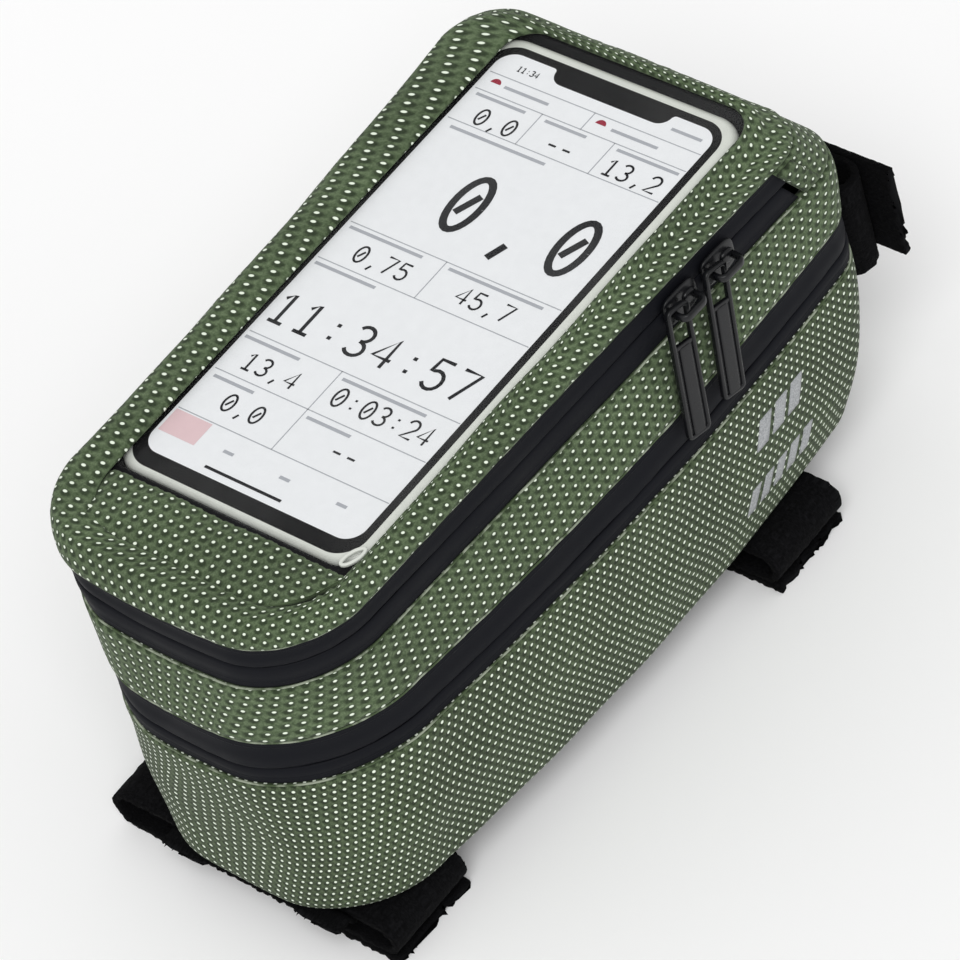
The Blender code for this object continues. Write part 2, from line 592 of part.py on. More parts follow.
def slider(name, height, y, side):
    """A zip slider: outer plate, web through the slit, back plate and the pull's bridge, and its
    pull, a flat frame whose window hangs round the bridge's rear leg."""
    place, along, upward, outward = zip_frame(height, y, side)
    frame = Matrix((along, upward, outward)).transposed().to_4x4()
    frame.translation = place
    mount = empty(name + "_place", place)

    def local(label, points, faces, finish, parent=mount, at=place):
        world = [frame @ Vector(point) for point in points]
        return piece(label, world, faces, finish, at, parent, False)

    plate_top = SLIDER_CLEARANCE + SLIDER_PLATE
    middle = (SLIDER_CLEARANCE + plate_top) / 2
    back_top = -(TAPE_THICKNESS + GAP + COIL_DEPTH + SLIDER_CLEARANCE)
    plate = local(name, *block((SLIDER_LENGTH, SLIDER_HEIGHT, SLIDER_PLATE), (0, 0, middle)), METAL)
    rounded(plate, SLIDER_EDGE)
    web = local(name + "_web", *block((SLIDER_WEB_LENGTH, SLIDER_WEB, middle - back_top + SLIDER_PLATE / 2),
                                      (0, 0, (middle + back_top - SLIDER_PLATE / 2) / 2)), METAL)
    back = local(name + "_back", *block((SLIDER_LENGTH - 2 * SLIDER_PLATE, SLIDER_BACK_HEIGHT, SLIDER_PLATE),
                                        (0, 0, back_top - SLIDER_PLATE / 2)), METAL)
    outer = BRIDGE_LENGTH / 2
    inner = outer - BRIDGE_BAR
    crown = plate_top + BRIDGE_ROOM + BRIDGE_BAR
    roof = plate_top + BRIDGE_ROOM
    slant = BRIDGE_BAR
    profile = [(-outer, middle), (-outer, crown - slant), (-outer + slant, crown), (outer - slant, crown),
               (outer, crown - slant), (outer, middle), (inner, middle), (inner, roof - slant / 2),
               (inner - slant / 2, roof), (-inner + slant / 2, roof), (-inner, roof - slant / 2),
               (-inner, middle)]
    bridge = local(name + "_bridge", *prism(profile, BRIDGE_WIDTH), METAL)
    for joined in (web, back, bridge):
        combined(plate, joined, "UNION")

    leg = Vector((-(outer + inner) / 2, 0, plate_top + BRIDGE_ROOM / 2))
    pivot = frame @ leg
    swing = empty(name + "_swing", pivot)
    reach = PULL_LENGTH - PULL_RAIL
    swell = 0.0
    for drop in np.linspace(0.0, reach, 9)[1:]:
        there = section_at(height - drop)
        proud = side_half(there, y) - side_half(section_at(height), y) + TAPE_INSET
        swell = max(swell, (proud + GAP + PULL_THICKNESS / 2 - leg.z) / drop)
    lie = Matrix.Rotation(-np.arctan(swell) - PULL_LIFT, 4, "X") @ Matrix.Rotation(-PULL_SWING, 4, "Z")
    top = np.hypot(BRIDGE_WIDTH, BRIDGE_BAR) / 2 + PULL_PLAY

    def pulled(label, size, centre):
        points, faces = block(size, centre)
        turned = [lie @ Vector(point) + leg for point in points]
        return local(label, turned, faces, METAL, swing, pivot)

    pull = pulled(name.replace("slider", "pull"), (PULL_WIDTH, PULL_LENGTH, PULL_THICKNESS),
                  (0, top + PULL_RAIL - PULL_LENGTH / 2, 0))
    rounded(pull, PULL_EDGE)
    inner_width = PULL_WIDTH - 2 * PULL_RAIL
    window = pulled(name + "_window", (inner_width, PULL_WINDOW, 2 * PULL_THICKNESS),
                    (0, top - PULL_WINDOW / 2, 0))
    combined(pull, window, "DIFFERENCE")
    groove_length = PULL_LENGTH - PULL_WINDOW - 3 * PULL_RAIL
    groove_middle = top - PULL_WINDOW - PULL_RAIL - groove_length / 2
    for hand in (-1, 1):
        groove = pulled(name + "_groove", (PULL_GROOVE_WIDTH, groove_length, 2 * PULL_GROOVE),
                        (hand * (inner_width - PULL_GROOVE_WIDTH) / 2, groove_middle, PULL_THICKNESS / 2))
        combined(pull, groove, "DIFFERENCE")


def loop_path(left, right, bottom, top, overlap, tail):
    """Centreline of a flattened strap loop, from the loose end inside, round by the right and the left,
    to the outer end, which reaches a tail's length past the right turn."""
    inside = bottom + STRAP_THICKNESS + GAP
    right_radius = (top - inside) / 2
    left_radius = (top - bottom) / 2
    turn = np.linspace(-np.pi / 2, np.pi / 2, 9)
    right_turn = np.column_stack([
        right - right_radius + right_radius * np.cos(turn),
        top - right_radius + right_radius * np.sin(turn),
    ])
    left_turn = np.column_stack([
        left + left_radius - left_radius * np.cos(turn),
        top - left_radius - left_radius * np.sin(turn),
    ])
    start = [(right + tail - overlap, inside)]
    outer = [(right + tail, bottom)]
    return np.concatenate([start, right_turn, left_turn, outer])


def ribbon(path, thickness):
    """Closed outline of a ribbon that follows a path: one side out, the other side back."""
    step = np.gradient(path, axis=0)
    normal = np.column_stack([-step[:, 1], step[:, 0]])
    normal /= np.linalg.norm(normal, axis=1)[:, None]
    return np.concatenate([path + normal * thickness / 2, (path - normal * thickness / 2)[::-1]])


def ribbon_faces(count):
    """Faces of a ribbon given by the same closed outline at its two edges."""
    faces = []
    for step in range(count):
        after = (step + 1) % count
        faces.append((step, after, count + after, count + step))
    for step in range(count // 2 - 1):
        mate = count - 1 - step
        faces.append((step, step + 1, mate - 1, mate))
        faces.append((count + step, count + step + 1, count + mate - 1, count + mate))
    return faces


def guide(name, strap_width, edges, place):
    """Webbing bridge sewn on beside a strap's run. The place turns a width across the strap, a distance
    from the sewn surface and a position along the strap into a point."""
    clear = strap_width / 2 + GAP + GUIDE_THICKNESS / 2
    sewn = GAP + GUIDE_THICKNESS / 2
    raised = GAP + STRAP_THICKNESS + GAP + GUIDE_THICKNESS / 2
    turn = 0.8 * MM
    path = np.array([(-clear - GUIDE_SEAM, sewn), (-clear - turn, sewn), (-clear, sewn + turn / 2),
                     (-clear, raised - turn), (-clear + turn, raised), (clear - turn, raised),
                     (clear, raised - turn), (clear, sewn + turn / 2), (clear + turn, sewn),
                     (clear + GUIDE_SEAM, sewn)])
    shape = ribbon(path, GUIDE_THICKNESS)
    points = [place(across, away, edge) for edge in edges for across, away in shape]
    piece(name, points, ribbon_faces(len(shape)), WEBBING)


def base_strap(name, ends, y):
    """A hook-and-loop strap closed into a flattened loop under the base, and its two sewn guides."""
    half = STRAP_THICKNESS / 2
    top = BASE_Z - GAP - half
    path = loop_path(ends[0] + half, ends[1] - half, half, top, STRAP_OVERLAP, 0.0)
    shape = ribbon(path, STRAP_THICKNESS)
    edges = y - STRAP_WIDTH / 2, y + STRAP_WIDTH / 2
    points = [(x, edge, z) for edge in edges for x, z in shape]
    piece(name, points, ribbon_faces(len(shape)), WEBBING)
    for side, label in ((-1, "left"), (1, "right")):
        edges = side * GUIDE_PLACE - GUIDE_WIDTH / 2, side * GUIDE_PLACE + GUIDE_WIDTH / 2
        guide(name.replace("strap", "guide") + "_" + label, STRAP_WIDTH, edges,
              lambda across, away, along: (along, y + across, BASE_Z - away))


def head_strap():
    """The strap that closes round the head tube: an upright flattened loop at the front wall, with its
    guide. The outer end stands free past the right turn."""
    low = HEAD_STRAP_Z - HEAD_STRAP_WIDTH / 2
    high = HEAD_STRAP_Z + HEAD_STRAP_WIDTH / 2
    wall_y = max(section_at(level).front for level in np.linspace(low, high, 7))
    half = STRAP_THICKNESS / 2
    depth = HEAD_STRAP_ROOM + 2 * STRAP_THICKNESS + GAP
    path = loop_path(HEAD_STRAP_ENDS[0] + half, HEAD_STRAP_ENDS[1] - half, half, depth - half,
                     HEAD_STRAP_OVERLAP, HEAD_STRAP_TAIL)
    shape = ribbon(path, STRAP_THICKNESS)
    points = [(x, wall_y + GAP + depth - away, edge) for edge in (low, high) for x, away in shape]
    piece("head_strap", points, ribbon_faces(len(shape)), WEBBING)
    edges = -HEAD_GUIDE_WIDTH / 2, HEAD_GUIDE_WIDTH / 2
    guide("head_guide", HEAD_STRAP_WIDTH, edges,
          lambda across, away, along: (along, wall_y + away, HEAD_STRAP_Z + across))


lid_hinge = empty("lid_hinge", (0.0, LID_FRONT + 2 * GAP, RIM_BOTTOM))
lower_body()
middle_body()
zip_half("upper_zip_bottom", UPPER_SEAM_Z, BAND_TOP, ZIP_RUN, None)
end_tab("zip_end_tab_right", 1)
end_tab("zip_end_tab_left", -1)
lid(lid_hinge)
phone(lid_hinge)
slider("near_slider", UPPER_SEAM_Z, NEAR_SLIDER_Y, 1)
slider("far_slider", UPPER_SEAM_Z, FAR_SLIDER_Y, 1)
slider("lower_slider", LOWER_SEAM_Z, LOWER_SLIDER_Y, -1)
base_strap("rear_strap", REAR_STRAP_ENDS, REAR_STRAP_Y)
base_strap("front_strap", FRONT_STRAP_ENDS, FRONT_STRAP_Y)
head_strap()
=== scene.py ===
"""Looks of a padded top tube bag with a phone window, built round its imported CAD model.

The bag is put together from the ground up: padded lower wall and base, lower zip with its folded
gusset, middle band, upper zip, lid with the phone, sliders and pulls, and the straps.
All lengths are in metres, +Y points towards the bicycle's head tube, +Z up.
"""

import bmesh
import bpy
import numpy as np
from mathutils import Matrix, Vector


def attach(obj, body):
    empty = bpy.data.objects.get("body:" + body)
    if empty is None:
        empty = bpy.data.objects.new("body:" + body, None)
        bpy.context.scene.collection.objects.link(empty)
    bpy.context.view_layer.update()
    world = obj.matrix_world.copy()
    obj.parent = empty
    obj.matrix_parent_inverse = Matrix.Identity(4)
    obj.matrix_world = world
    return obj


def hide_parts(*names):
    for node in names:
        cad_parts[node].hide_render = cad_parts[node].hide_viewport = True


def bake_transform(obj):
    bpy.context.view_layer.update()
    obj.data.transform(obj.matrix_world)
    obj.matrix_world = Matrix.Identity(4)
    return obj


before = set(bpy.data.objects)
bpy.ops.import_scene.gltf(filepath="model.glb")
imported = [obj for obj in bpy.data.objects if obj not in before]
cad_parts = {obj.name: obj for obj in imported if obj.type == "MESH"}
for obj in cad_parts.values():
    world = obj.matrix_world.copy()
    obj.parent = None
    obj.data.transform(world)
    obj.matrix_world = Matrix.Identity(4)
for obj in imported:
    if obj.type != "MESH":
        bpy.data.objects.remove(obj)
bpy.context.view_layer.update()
MM = 0.001

# Camera: high above the bag's near right corner, with a long lens, as the bag is pictured.
# Its distance and lens follow from the outline of the phone in the window.
camera_data = bpy.data.cameras.new("camera")
camera_data.lens = 206.25
camera_data.sensor_width = 36.0
camera_data.clip_start = 0.05
camera = bpy.data.objects.new("camera", camera_data)
camera_right = Vector((0.7674, 0.6022, -0.2202)).normalized()
camera_up = Vector((-0.3468, 0.6787, 0.6473)).normalized()
camera_back = camera_right.cross(camera_up).normalized()
camera_up = camera_back.cross(camera_right)
camera_turn = Matrix((camera_right, camera_up, camera_back)).transposed()
camera.matrix_world = Matrix.Translation((0.7080, -0.5456, 1.0091)) @ camera_turn.to_4x4()
bpy.context.scene.collection.objects.link(camera)
bpy.context.scene.camera = camera

# Lower wall: dotted green fabric over thin foam with a black lining, one strip sewn round the bag.
# Its bottom edge is turned in under the base, and its top edge is rolled over the zip's tape.
# Plan of the bag by height, in mm: height; half widths at the rear corner, the middle and the front
# corner; rear and front ends; rear end's bow; rear corner across and along; front corner
PLAN = MM * np.array([
    (13.3, 39.45, 46.15, 44.05, -93.85, 94.75, 5.0, 28.0, 26.0, 15.0),
    (37.8, 43.05, 49.73, 49.05, -91.85, 101.75, 6.5, 28.0, 28.0, 14.0),
    (62.3, 44.45, 50.55, 49.05, -89.85, 104.75, 9.5, 33.0, 32.0, 13.0),
    (77.3, 44.25, 50.00, 49.25, -89.85, 104.75, 8.5, 31.0, 30.0, 13.0),
    (96.3, 42.55, 46.15, 49.45, -89.85, 104.75, 6.0, 25.0, 26.0, 13.0),
    (111.0, 43.55, 45.82, 49.05, -89.85, 94.75, 5.0, 22.0, 23.0, 12.0),
    (118.8, 41.55, 42.85, 47.65, -88.35, 89.75, 3.0, 18.0, 19.0, 15.0),
])
REAR_STEPS, CORNER_STEPS, SIDE_STEPS, FRONT_TURN_STEPS, FRONT_STEPS = 22, 24, 92, 18, 24
HALF_STEPS = REAR_STEPS + CORNER_STEPS + SIDE_STEPS + FRONT_TURN_STEPS + FRONT_STEPS
ROUND = 2 * HALF_STEPS  # columns round the bag, from the front middle by the left and the rear


def plan_at(heights):
    """PLAN's values at each height: a cubic through its rows with central-difference slopes, and
    straight lines above the middle band."""
    heights = np.clip(heights, PLAN[0, 0], PLAN[-1, 0])
    row = np.clip(np.searchsorted(PLAN[:, 0], heights) - 1, 0, len(PLAN) - 2)
    span = (PLAN[row + 1, 0] - PLAN[row, 0])[:, None]
    t = (heights[:, None] - PLAN[row, :1]) / span
    slopes = np.gradient(PLAN, PLAN[:, 0], axis=0)
    low, high = PLAN[row], PLAN[row + 1]
    cubic = (2 * t**3 - 3 * t**2 + 1) * low + (t**3 - 2 * t**2 + t) * slopes[row] * span
    cubic = cubic + (3 * t**2 - 2 * t**3) * high + (t**3 - t**2) * slopes[row + 1] * span
    return np.where((row >= len(PLAN) - 3)[:, None], low + (high - low) * t, cubic)


def half_round(rear_half, front_half, bow, start, end, corner_x, corner_y, turn):
    """Right-hand half of an outline from the rear middle to the front middle: a line, a quarter
    ellipse, a side bowed as a parabola, a quarter circle and a line."""
    step = np.linspace(0, 1, REAR_STEPS, endpoint=False)
    angle = np.linspace(-np.pi / 2, 0, CORNER_STEPS, endpoint=False)
    t = np.linspace(0, 1, SIDE_STEPS, endpoint=False)
    front_angle = np.linspace(0, np.pi / 2, FRONT_TURN_STEPS, endpoint=False)
    x = [(rear_half - corner_x) * step, rear_half - corner_x + corner_x * np.cos(angle),
         rear_half + (front_half - rear_half) * t + 4 * bow * t * (1 - t),
         front_half - turn + turn * np.cos(front_angle),
         (front_half - turn) * np.linspace(1, 0, FRONT_STEPS + 1)]
    y = [(start - corner_y) * np.ones(REAR_STEPS), start + corner_y * np.sin(angle), start + (end - start) * t,
         end + turn * np.sin(front_angle), (end + turn) * np.ones(FRONT_STEPS + 1)]
    return np.concatenate(x, axis=-1), np.concatenate(y, axis=-1)


def closed_round(half_x, half_y):
    """Whole outlines from right-hand halves: the mirrored half from the front back to the rear, then
    the half itself, joined end to end."""
    x = np.concatenate([-half_x[..., ::-1], half_x[..., 1:-1]], axis=-1)
    return x, np.concatenate([half_y[..., ::-1], half_y[..., 1:-1]], axis=-1)


def around(heights, insets, columns=None):
    """Points round the bag, one row for each height and inset. The rear bulges outwards as
    1 - (x / widest) squared. Columns are fractions of the way between neighbours."""
    heights, inset = np.asarray(heights, float), np.asarray(insets, float)[:, None]
    rear_half, middle_half, front_half, rear, front, bow, *corners = plan_at(heights).T[1:, :, None]
    start, end = rear + corners[1], front - corners[2]
    middle = middle_half - (rear_half + front_half) / 2
    corners = [np.maximum(corner - inset, 1 * MM) for corner in corners]
    x, y = half_round(rear_half - inset, front_half - inset, middle, start, end, *corners)
    fade = np.zeros(x.shape[1])
    behind = REAR_STEPS + CORNER_STEPS
    fade[:behind] = 1.0
    fade[behind:behind + SIDE_STEPS] = (1 - np.linspace(0, 1, SIDE_STEPS, endpoint=False)) ** 3
    y = y - bow * np.clip(1 - (x / x.max(axis=1, keepdims=True)) ** 2, 0, 1) * fade
    x, y = closed_round(x, y)
    points = np.stack([x, y, heights[:, None] * np.ones(x.shape[1])], axis=2)
    return points if columns is None else between_columns(points, columns)


def between_columns(points, columns):
    """Points at fractional columns of a closed grid, straight between the two neighbours."""
    columns = np.asarray(columns)
    low = np.floor(columns).astype(int)
    share = (columns - low)[None, :, None]
    return points[:, low % ROUND] * (1 - share) + points[:, (low + 1) % ROUND] * share


def run_along(line, closed=False):
    """Distance of each point along a line: the running sum of its steps, and back to its start where
    it is closed."""
    line = np.vstack([line, line[:1]]) if closed else line
    return np.concatenate([[0.0], np.cumsum(np.linalg.norm(np.diff(line, axis=0), axis=1))])


def girth(points):
    """Distance round the bag from its rear middle along one closed row, with the end repeated."""
    run = run_along(points, True)
    return run - run[HALF_STEPS]


def uv_grid(along, up):
    """A UV for each row and column, from the distances along and up."""
    return np.stack(np.broadcast_arrays(along[None, :], up[:, None]), axis=2)


def wrapped(grid):
    """A grid with its first row and its first column repeated at its ends."""
    grid = np.concatenate([grid, grid[:1]])
    return np.concatenate([grid, grid[:, :1]], axis=1)


def at_distance(line, run, even):
    """Places on a flat line at given distances along it."""
    return np.column_stack([np.interp(even, run, axis) for axis in line.T])


def blurred(rows, length, softness):
    """Even rows that close on themselves, blurred along their length by a Gaussian as wide as the
    softness, in mm."""
    blur = np.exp(-2 * (np.pi * np.fft.fftfreq(len(rows), length / len(rows)) * softness * MM) ** 2)
    return np.fft.ifft((np.fft.fft(rows, axis=0).T * blur).T, axis=0).real


def soft_profile(corners, spacing, softness):
    """A closed cross-section from its corners, in mm: evenly spaced points of the polygon, blurred
    along it, which rounds the corners."""
    ring = MM * np.array([*corners, corners[0]], float)
    run = run_along(ring)
    even = np.linspace(0, run[-1], int(round(run[-1] / (spacing * MM))), endpoint=False)
    return blurred(at_distance(ring, run, even), run[-1], softness)


def facing(points, rows=False, columns=False):
    """Unit normals of a grid: the cross product of its central differences along its columns and
    its rows, which wrap where the grid is closed."""
    def slope(axis, closed):
        if closed:
            return np.roll(points, -1, axis) - np.roll(points, 1, axis)
        return np.gradient(points, axis=axis)
    normal = np.cross(slope(1, columns), slope(0, rows))
    return normal / np.maximum(np.linalg.norm(normal, axis=2, keepdims=True), 1e-12)


def patch(points, rows=False, columns=False, caps=False, uv=None, inner=None):
    """Points, faces, UVs and finish numbers of a grid. Rows or columns says that the grid closes on
    itself that way, caps close the ends of a tube, and inner rows take the second finish."""
    high, wide = points.shape[:2]
    i, j = np.meshgrid(np.arange(high - 1 + rows), np.arange(wide - 1 + columns), indexing="ij")
    after, beside = (i + 1) % high * wide, (j + 1) % wide
    here = i * wide
    faces = np.stack([here + j, here + beside, after + beside, after + j], axis=2).reshape(-1, 4)
    if uv is None:
        uv = np.zeros((high + 1, wide + 1, 2))
    places = np.stack([uv[i, j], uv[i, j + 1], uv[i + 1, j + 1], uv[i + 1, j]], axis=2).reshape(-1, 2)
    second = np.zeros(len(faces), int) if inner is None else np.repeat(inner[:len(i)], i.shape[1])
    faces = faces.tolist()
    if caps:
        for column in (0, wide - 1):
            faces.append((np.arange(high) * wide + column).tolist())
        places = np.vstack([places, np.repeat(uv[0, :1], 2 * high, axis=0)])
    return points.reshape(-1, 3), faces, places, np.append(second, np.zeros(len(faces) - len(second)))


def surface(name, patches, *finishes):
    """One object from patches, with the UV map "surface". Points that fall together are merged, and
    the faces are turned outwards."""
    counts = np.cumsum([0] + [len(points) for points, _, _, _ in patches])
    faces = [[int(place + start) for place in face] for start, part in zip(counts, patches) for face in part[1]]
    mesh = bpy.data.meshes.new(name)
    mesh.from_pydata(np.concatenate([part[0] for part in patches]), [], faces)
    places = np.concatenate([part[2] for part in patches])
    mesh.uv_layers.new(name="surface").data.foreach_set("uv", places.astype(np.float32).ravel())
    second = np.concatenate([part[3] for part in patches]).astype(np.int32)
    for used in finishes:
        mesh.materials.append(used)
    mesh.polygons.foreach_set("material_index", second)
    mesh.shade_smooth()
    work = bmesh.new()
    work.from_mesh(mesh)
    bmesh.ops.remove_doubles(work, verts=work.verts, dist=1e-6)
    bmesh.ops.recalc_face_normals(work, faces=work.faces)
    work.to_mesh(mesh)
    work.free()
    made = bpy.data.objects.new(name, mesh)
    bpy.context.scene.collection.objects.link(made)
    return made


def dressed(made, body, node):
    """Ties a piece to its body, in place of a plain node if it has one."""
    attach(made, body)
    if node:
        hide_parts(node)
    return made


def linear(red, green, blue):
    """Linear colour of an 8-bit screen colour, by the sRGB curve."""
    value = np.array((red, green, blue)) / 255.0
    low = value / 12.92
    high = ((value + 0.055) / 1.055) ** 2.4
    return (*np.where(value <= 0.04045, low, high), 1.0)


class Nodes:
    """A short way to add nodes to a material's or a group's tree and to link them."""

    def __init__(self, tree, shader=None):
        self.tree, self.shader = tree, shader

    def join(self, value, socket):
        """Links a socket to an output, or sets it to a constant."""
        if isinstance(value, bpy.types.NodeSocket):
            self.tree.links.new(value, socket)
        else:
            socket.default_value = value

    def feed(self, socket, value):
        """Joins a value to one of the shader's own sockets."""
        self.join(value, self.shader.inputs[socket])

    def mottle(self, pattern, dark, light):
        """The shader's colour, from dark to light by a pattern, both as 8-bit screen colours."""
        self.feed("Base Color", self.mix(pattern, linear(*dark), linear(*light)))

    def add(self, kind, inputs=None, **settings):
        """A node with its settings, and each named or numbered input linked or set."""
        node = self.tree.nodes.new(kind)
        for key, value in settings.items():
            setattr(node, key, value)
        for key, value in (inputs or {}).items():
            self.join(value, node.inputs[key])
        return node

    def noise(self, where, scale, detail=2.0, roughness=0.5):
        """Value of a noise texture at a place."""
        sockets = {"Vector": where, "Scale": scale, "Detail": detail, "Roughness": roughness}
        return self.add("ShaderNodeTexNoise", sockets).outputs[0]

    def math(self, operation, *values):
        """Result of a maths node."""
        return self.add("ShaderNodeMath", dict(enumerate(values)), operation=operation).outputs[0]

    def vector(self, operation, *values):
        """Result of a vector maths node."""
        return self.add("ShaderNodeVectorMath", dict(enumerate(values)), operation=operation).outputs[0]

    def length(self, across, up):
        """Length of a flat vector."""
        return self.math("SQRT", self.math("MULTIPLY_ADD", across, across, self.math("MULTIPLY", up, up)))

    def uv(self):
        """The piece's own UV map."""
        return self.add("ShaderNodeUVMap", uv_map="surface").outputs[0]

    def solid(self):
        """Object coordinates."""
        return self.add("ShaderNodeTexCoord").outputs["Object"]

    def relief(self, height, strength, depth):
        """Bumps the shader by a height, with a depth in mm."""
        bump = self.add("ShaderNodeBump", {"Strength": strength, "Distance": depth * MM, "Height": height})
        self.feed("Normal", bump.outputs[0])

    def between(self, value, low, high, start=0.0, end=1.0):
        """Smooth step of a value from low to high, put out from start to end."""
        sockets = {"Value": value, "From Min": low, "From Max": high, "To Min": start, "To Max": end}
        return self.add("ShaderNodeMapRange", sockets, interpolation_type="SMOOTHSTEP").outputs[0]

    def mix(self, share, one, other, blend="MIX"):
        """Mix of two colours."""
        node = self.add("ShaderNodeMix", data_type="RGBA", blend_type=blend)
        for place, value in ((0, share), (6, one), (7, other)):
            self.join(value, node.inputs[place])
        return node.outputs[2]


def node_group(name, inputs, outputs):
    """A shader node group with its sockets, each given as (name, socket type, default)."""
    tree = bpy.data.node_groups.new(name, "ShaderNodeTree")
    for label, kind, value in inputs:
        socket = tree.interface.new_socket(label, in_out="INPUT", socket_type=kind)
        if value is not None:
            socket.default_value = value
    for label, kind in outputs:
        tree.interface.new_socket(label, in_out="OUTPUT", socket_type=kind)
    nodes = Nodes(tree)
    return tree, nodes, nodes.add("NodeGroupInput").outputs, nodes.add("NodeGroupOutput").inputs


def finish(name, roughness, specular=0.5, **constants):
    """A Principled material with its constants on the shader's own sockets."""
    made = bpy.data.materials.new(name)
    made.use_nodes = True
    shader = made.node_tree.nodes["Principled BSDF"]
    shader.inputs["Roughness"].default_value = roughness
    shader.inputs["Specular IOR Level"].default_value = specular
    for key, value in constants.items():
        shader.inputs[key.replace("_", " ").title().replace("Ior", "IOR")].default_value = value
    return made, Nodes(made.node_tree, shader)


# The fabric's pattern, worked out on a UV that counts the dots along and up: raised white dots on a
# slightly slanted lattice, each in a hollow with a painted shadow to one side, and lighter threads between
# them.
DOT_SLANT = 0.2
weave_tree, weave, weave_in, weave_out = node_group(
    "dotted weave",
    [("Surface", "NodeSocketVector", None), ("Radius", "NodeSocketFloat", 0.2),
     ("Rib", "NodeSocketColor", (0.2, 0.25, 0.1, 1)), ("Valley", "NodeSocketColor", (0.05, 0.1, 0.03, 1)),
     ("Dot", "NodeSocketColor", (0.8, 0.85, 0.7, 1))],
    [("Color", "NodeSocketColor"), ("Roughness", "NodeSocketFloat"), ("Height", "NodeSocketFloat")],
)
wander = weave.add("ShaderNodeTexNoise", {"Vector": weave_in["Surface"], "Scale": 0.13, "Detail": 1.0})
wander = weave.vector("SUBTRACT", wander.outputs["Color"], (0.5, 0.5, 0.5))
wander = weave.vector("MULTIPLY", wander, (0.5, 0.5, 0.0))
cell = weave.add("ShaderNodeSeparateXYZ", {0: weave.vector("ADD", weave_in["Surface"], wander)})
slanted = weave.math("MULTIPLY_ADD", cell.outputs[1], -DOT_SLANT, cell.outputs[0])
off_up = weave.math("SUBTRACT", weave.math("FRACT", cell.outputs[1]), 0.5)
off_across = weave.math("SUBTRACT", weave.math("FRACT", slanted), 0.5)
off_across = weave.math("MULTIPLY_ADD", off_up, DOT_SLANT, off_across)
distance = weave.length(off_across, off_up)
dot = weave.between(weave.math("SUBTRACT", distance, weave_in["Radius"]), 0.03, -0.04)
# Painted shadow of each dot: a dark patch set off to one side of it. The same patch also sinks the height round
# the dot.
shaded = weave.length(weave.math("ADD", off_across, 0.1), weave.math("ADD", off_up, 0.14))
dot_hollow_and_shadow = weave.between(shaded, 0.5, 0.22)
rib = weave.math("COSINE", weave.math("MULTIPLY", weave.math("ADD", slanted, cell.outputs[1]), 2 * np.pi))
rib = weave.math("MULTIPLY_ADD", rib, 0.5, 0.5)
threads = weave.vector("MULTIPLY", weave_in["Surface"], (5.5, 3.6, 1.0))
knit = weave.between(weave.noise(threads, 1.0, 3.0, 0.7), 0.3, 0.7)
drift = weave.between(weave.noise(weave_in["Surface"], 0.08), 0.3, 0.7, 0.88, 1.12)
share = weave.math("MULTIPLY_ADD", rib, 0.35, weave.math("MULTIPLY", knit, 0.65))
cloth = weave.mix(share, weave_in["Valley"], weave_in["Rib"])
# Painted shadow: the cloth darkened in the patch beside each dot.
cloth = weave.mix(weave.math("MULTIPLY", dot_hollow_and_shadow, 0.72), cloth, (0.009, 0.017, 0.006, 1.0))
tone = weave.add("ShaderNodeCombineXYZ", {0: drift, 1: drift, 2: drift}).outputs[0]
cloth = weave.mix(1.0, cloth, tone, "MULTIPLY")
weave.join(weave.mix(dot, cloth, weave_in["Dot"]), weave_out["Color"])
weave.join(weave.between(dot, 0.0, 1.0, 0.88, 0.5), weave_out["Roughness"])
height = weave.math("MULTIPLY_ADD", dot, 0.7, weave.math("MULTIPLY", knit, 0.3))
weave.join(weave.math("MULTIPLY_ADD", dot_hollow_and_shadow, -0.3, height), weave_out["Height"])


def dotted_fabric(name, radius, rib, valley):
    """The green fabric with dots of a radius, given as a share of their spacing."""
    made, nodes = finish(name, 0.85, 0.25, sheen_weight=0.05, sheen_roughness=0.5)
    pattern = nodes.add("ShaderNodeGroup", node_tree=weave_tree)
    for label, value in (("Surface", nodes.uv()), ("Radius", radius), ("Rib", rib), ("Valley", valley),
                         ("Dot", linear(236, 246, 228))):
        nodes.join(value, pattern.inputs[label])
    nodes.feed("Base Color", pattern.outputs["Color"])
    nodes.feed("Roughness", pattern.outputs["Roughness"])
    nodes.relief(pattern.outputs["Height"], 0.8, 0.25)
    return made


WALL_GREEN = dotted_fabric("green wall fabric", 0.185, linear(96, 111, 82), linear(34, 46, 26))
GREEN = dotted_fabric("green lid fabric", 0.15, linear(104, 120, 90), linear(56, 72, 45))

# Black nylon lining: a fine plain weave, dull.
LINING, lining = finish("black lining", 0.85, 0.2)
cloudy = lining.noise(lining.uv(), 90.0, 3.0)
lining.mottle(cloudy, (13, 13, 15), (26, 26, 29))
threads = lining.vector("MULTIPLY", lining.uv(), (10500.0, 10500.0, 1.0))
threads = lining.add("ShaderNodeSeparateXYZ", {0: threads}).outputs
plain = lining.math("MULTIPLY", lining.math("SINE", threads[0]), lining.math("SINE", threads[1]))
lining.relief(plain, 0.5, 0.08)


def unevenness(u, v, seed, depth):
    """Soft unevenness of padded cloth: six waves of 20 to 60 mm in seeded directions."""
    random = np.random.default_rng(seed)
    total = np.zeros(np.broadcast(u, v).shape)
    for turn, length, phase in random.uniform((0, 20, 0), (np.pi, 60, 2 * np.pi), (6, 3)):
        total += np.sin((u * np.cos(turn) + v * np.sin(turn)) * 2 * np.pi / (length * MM) + phase)
    return total * depth / 6


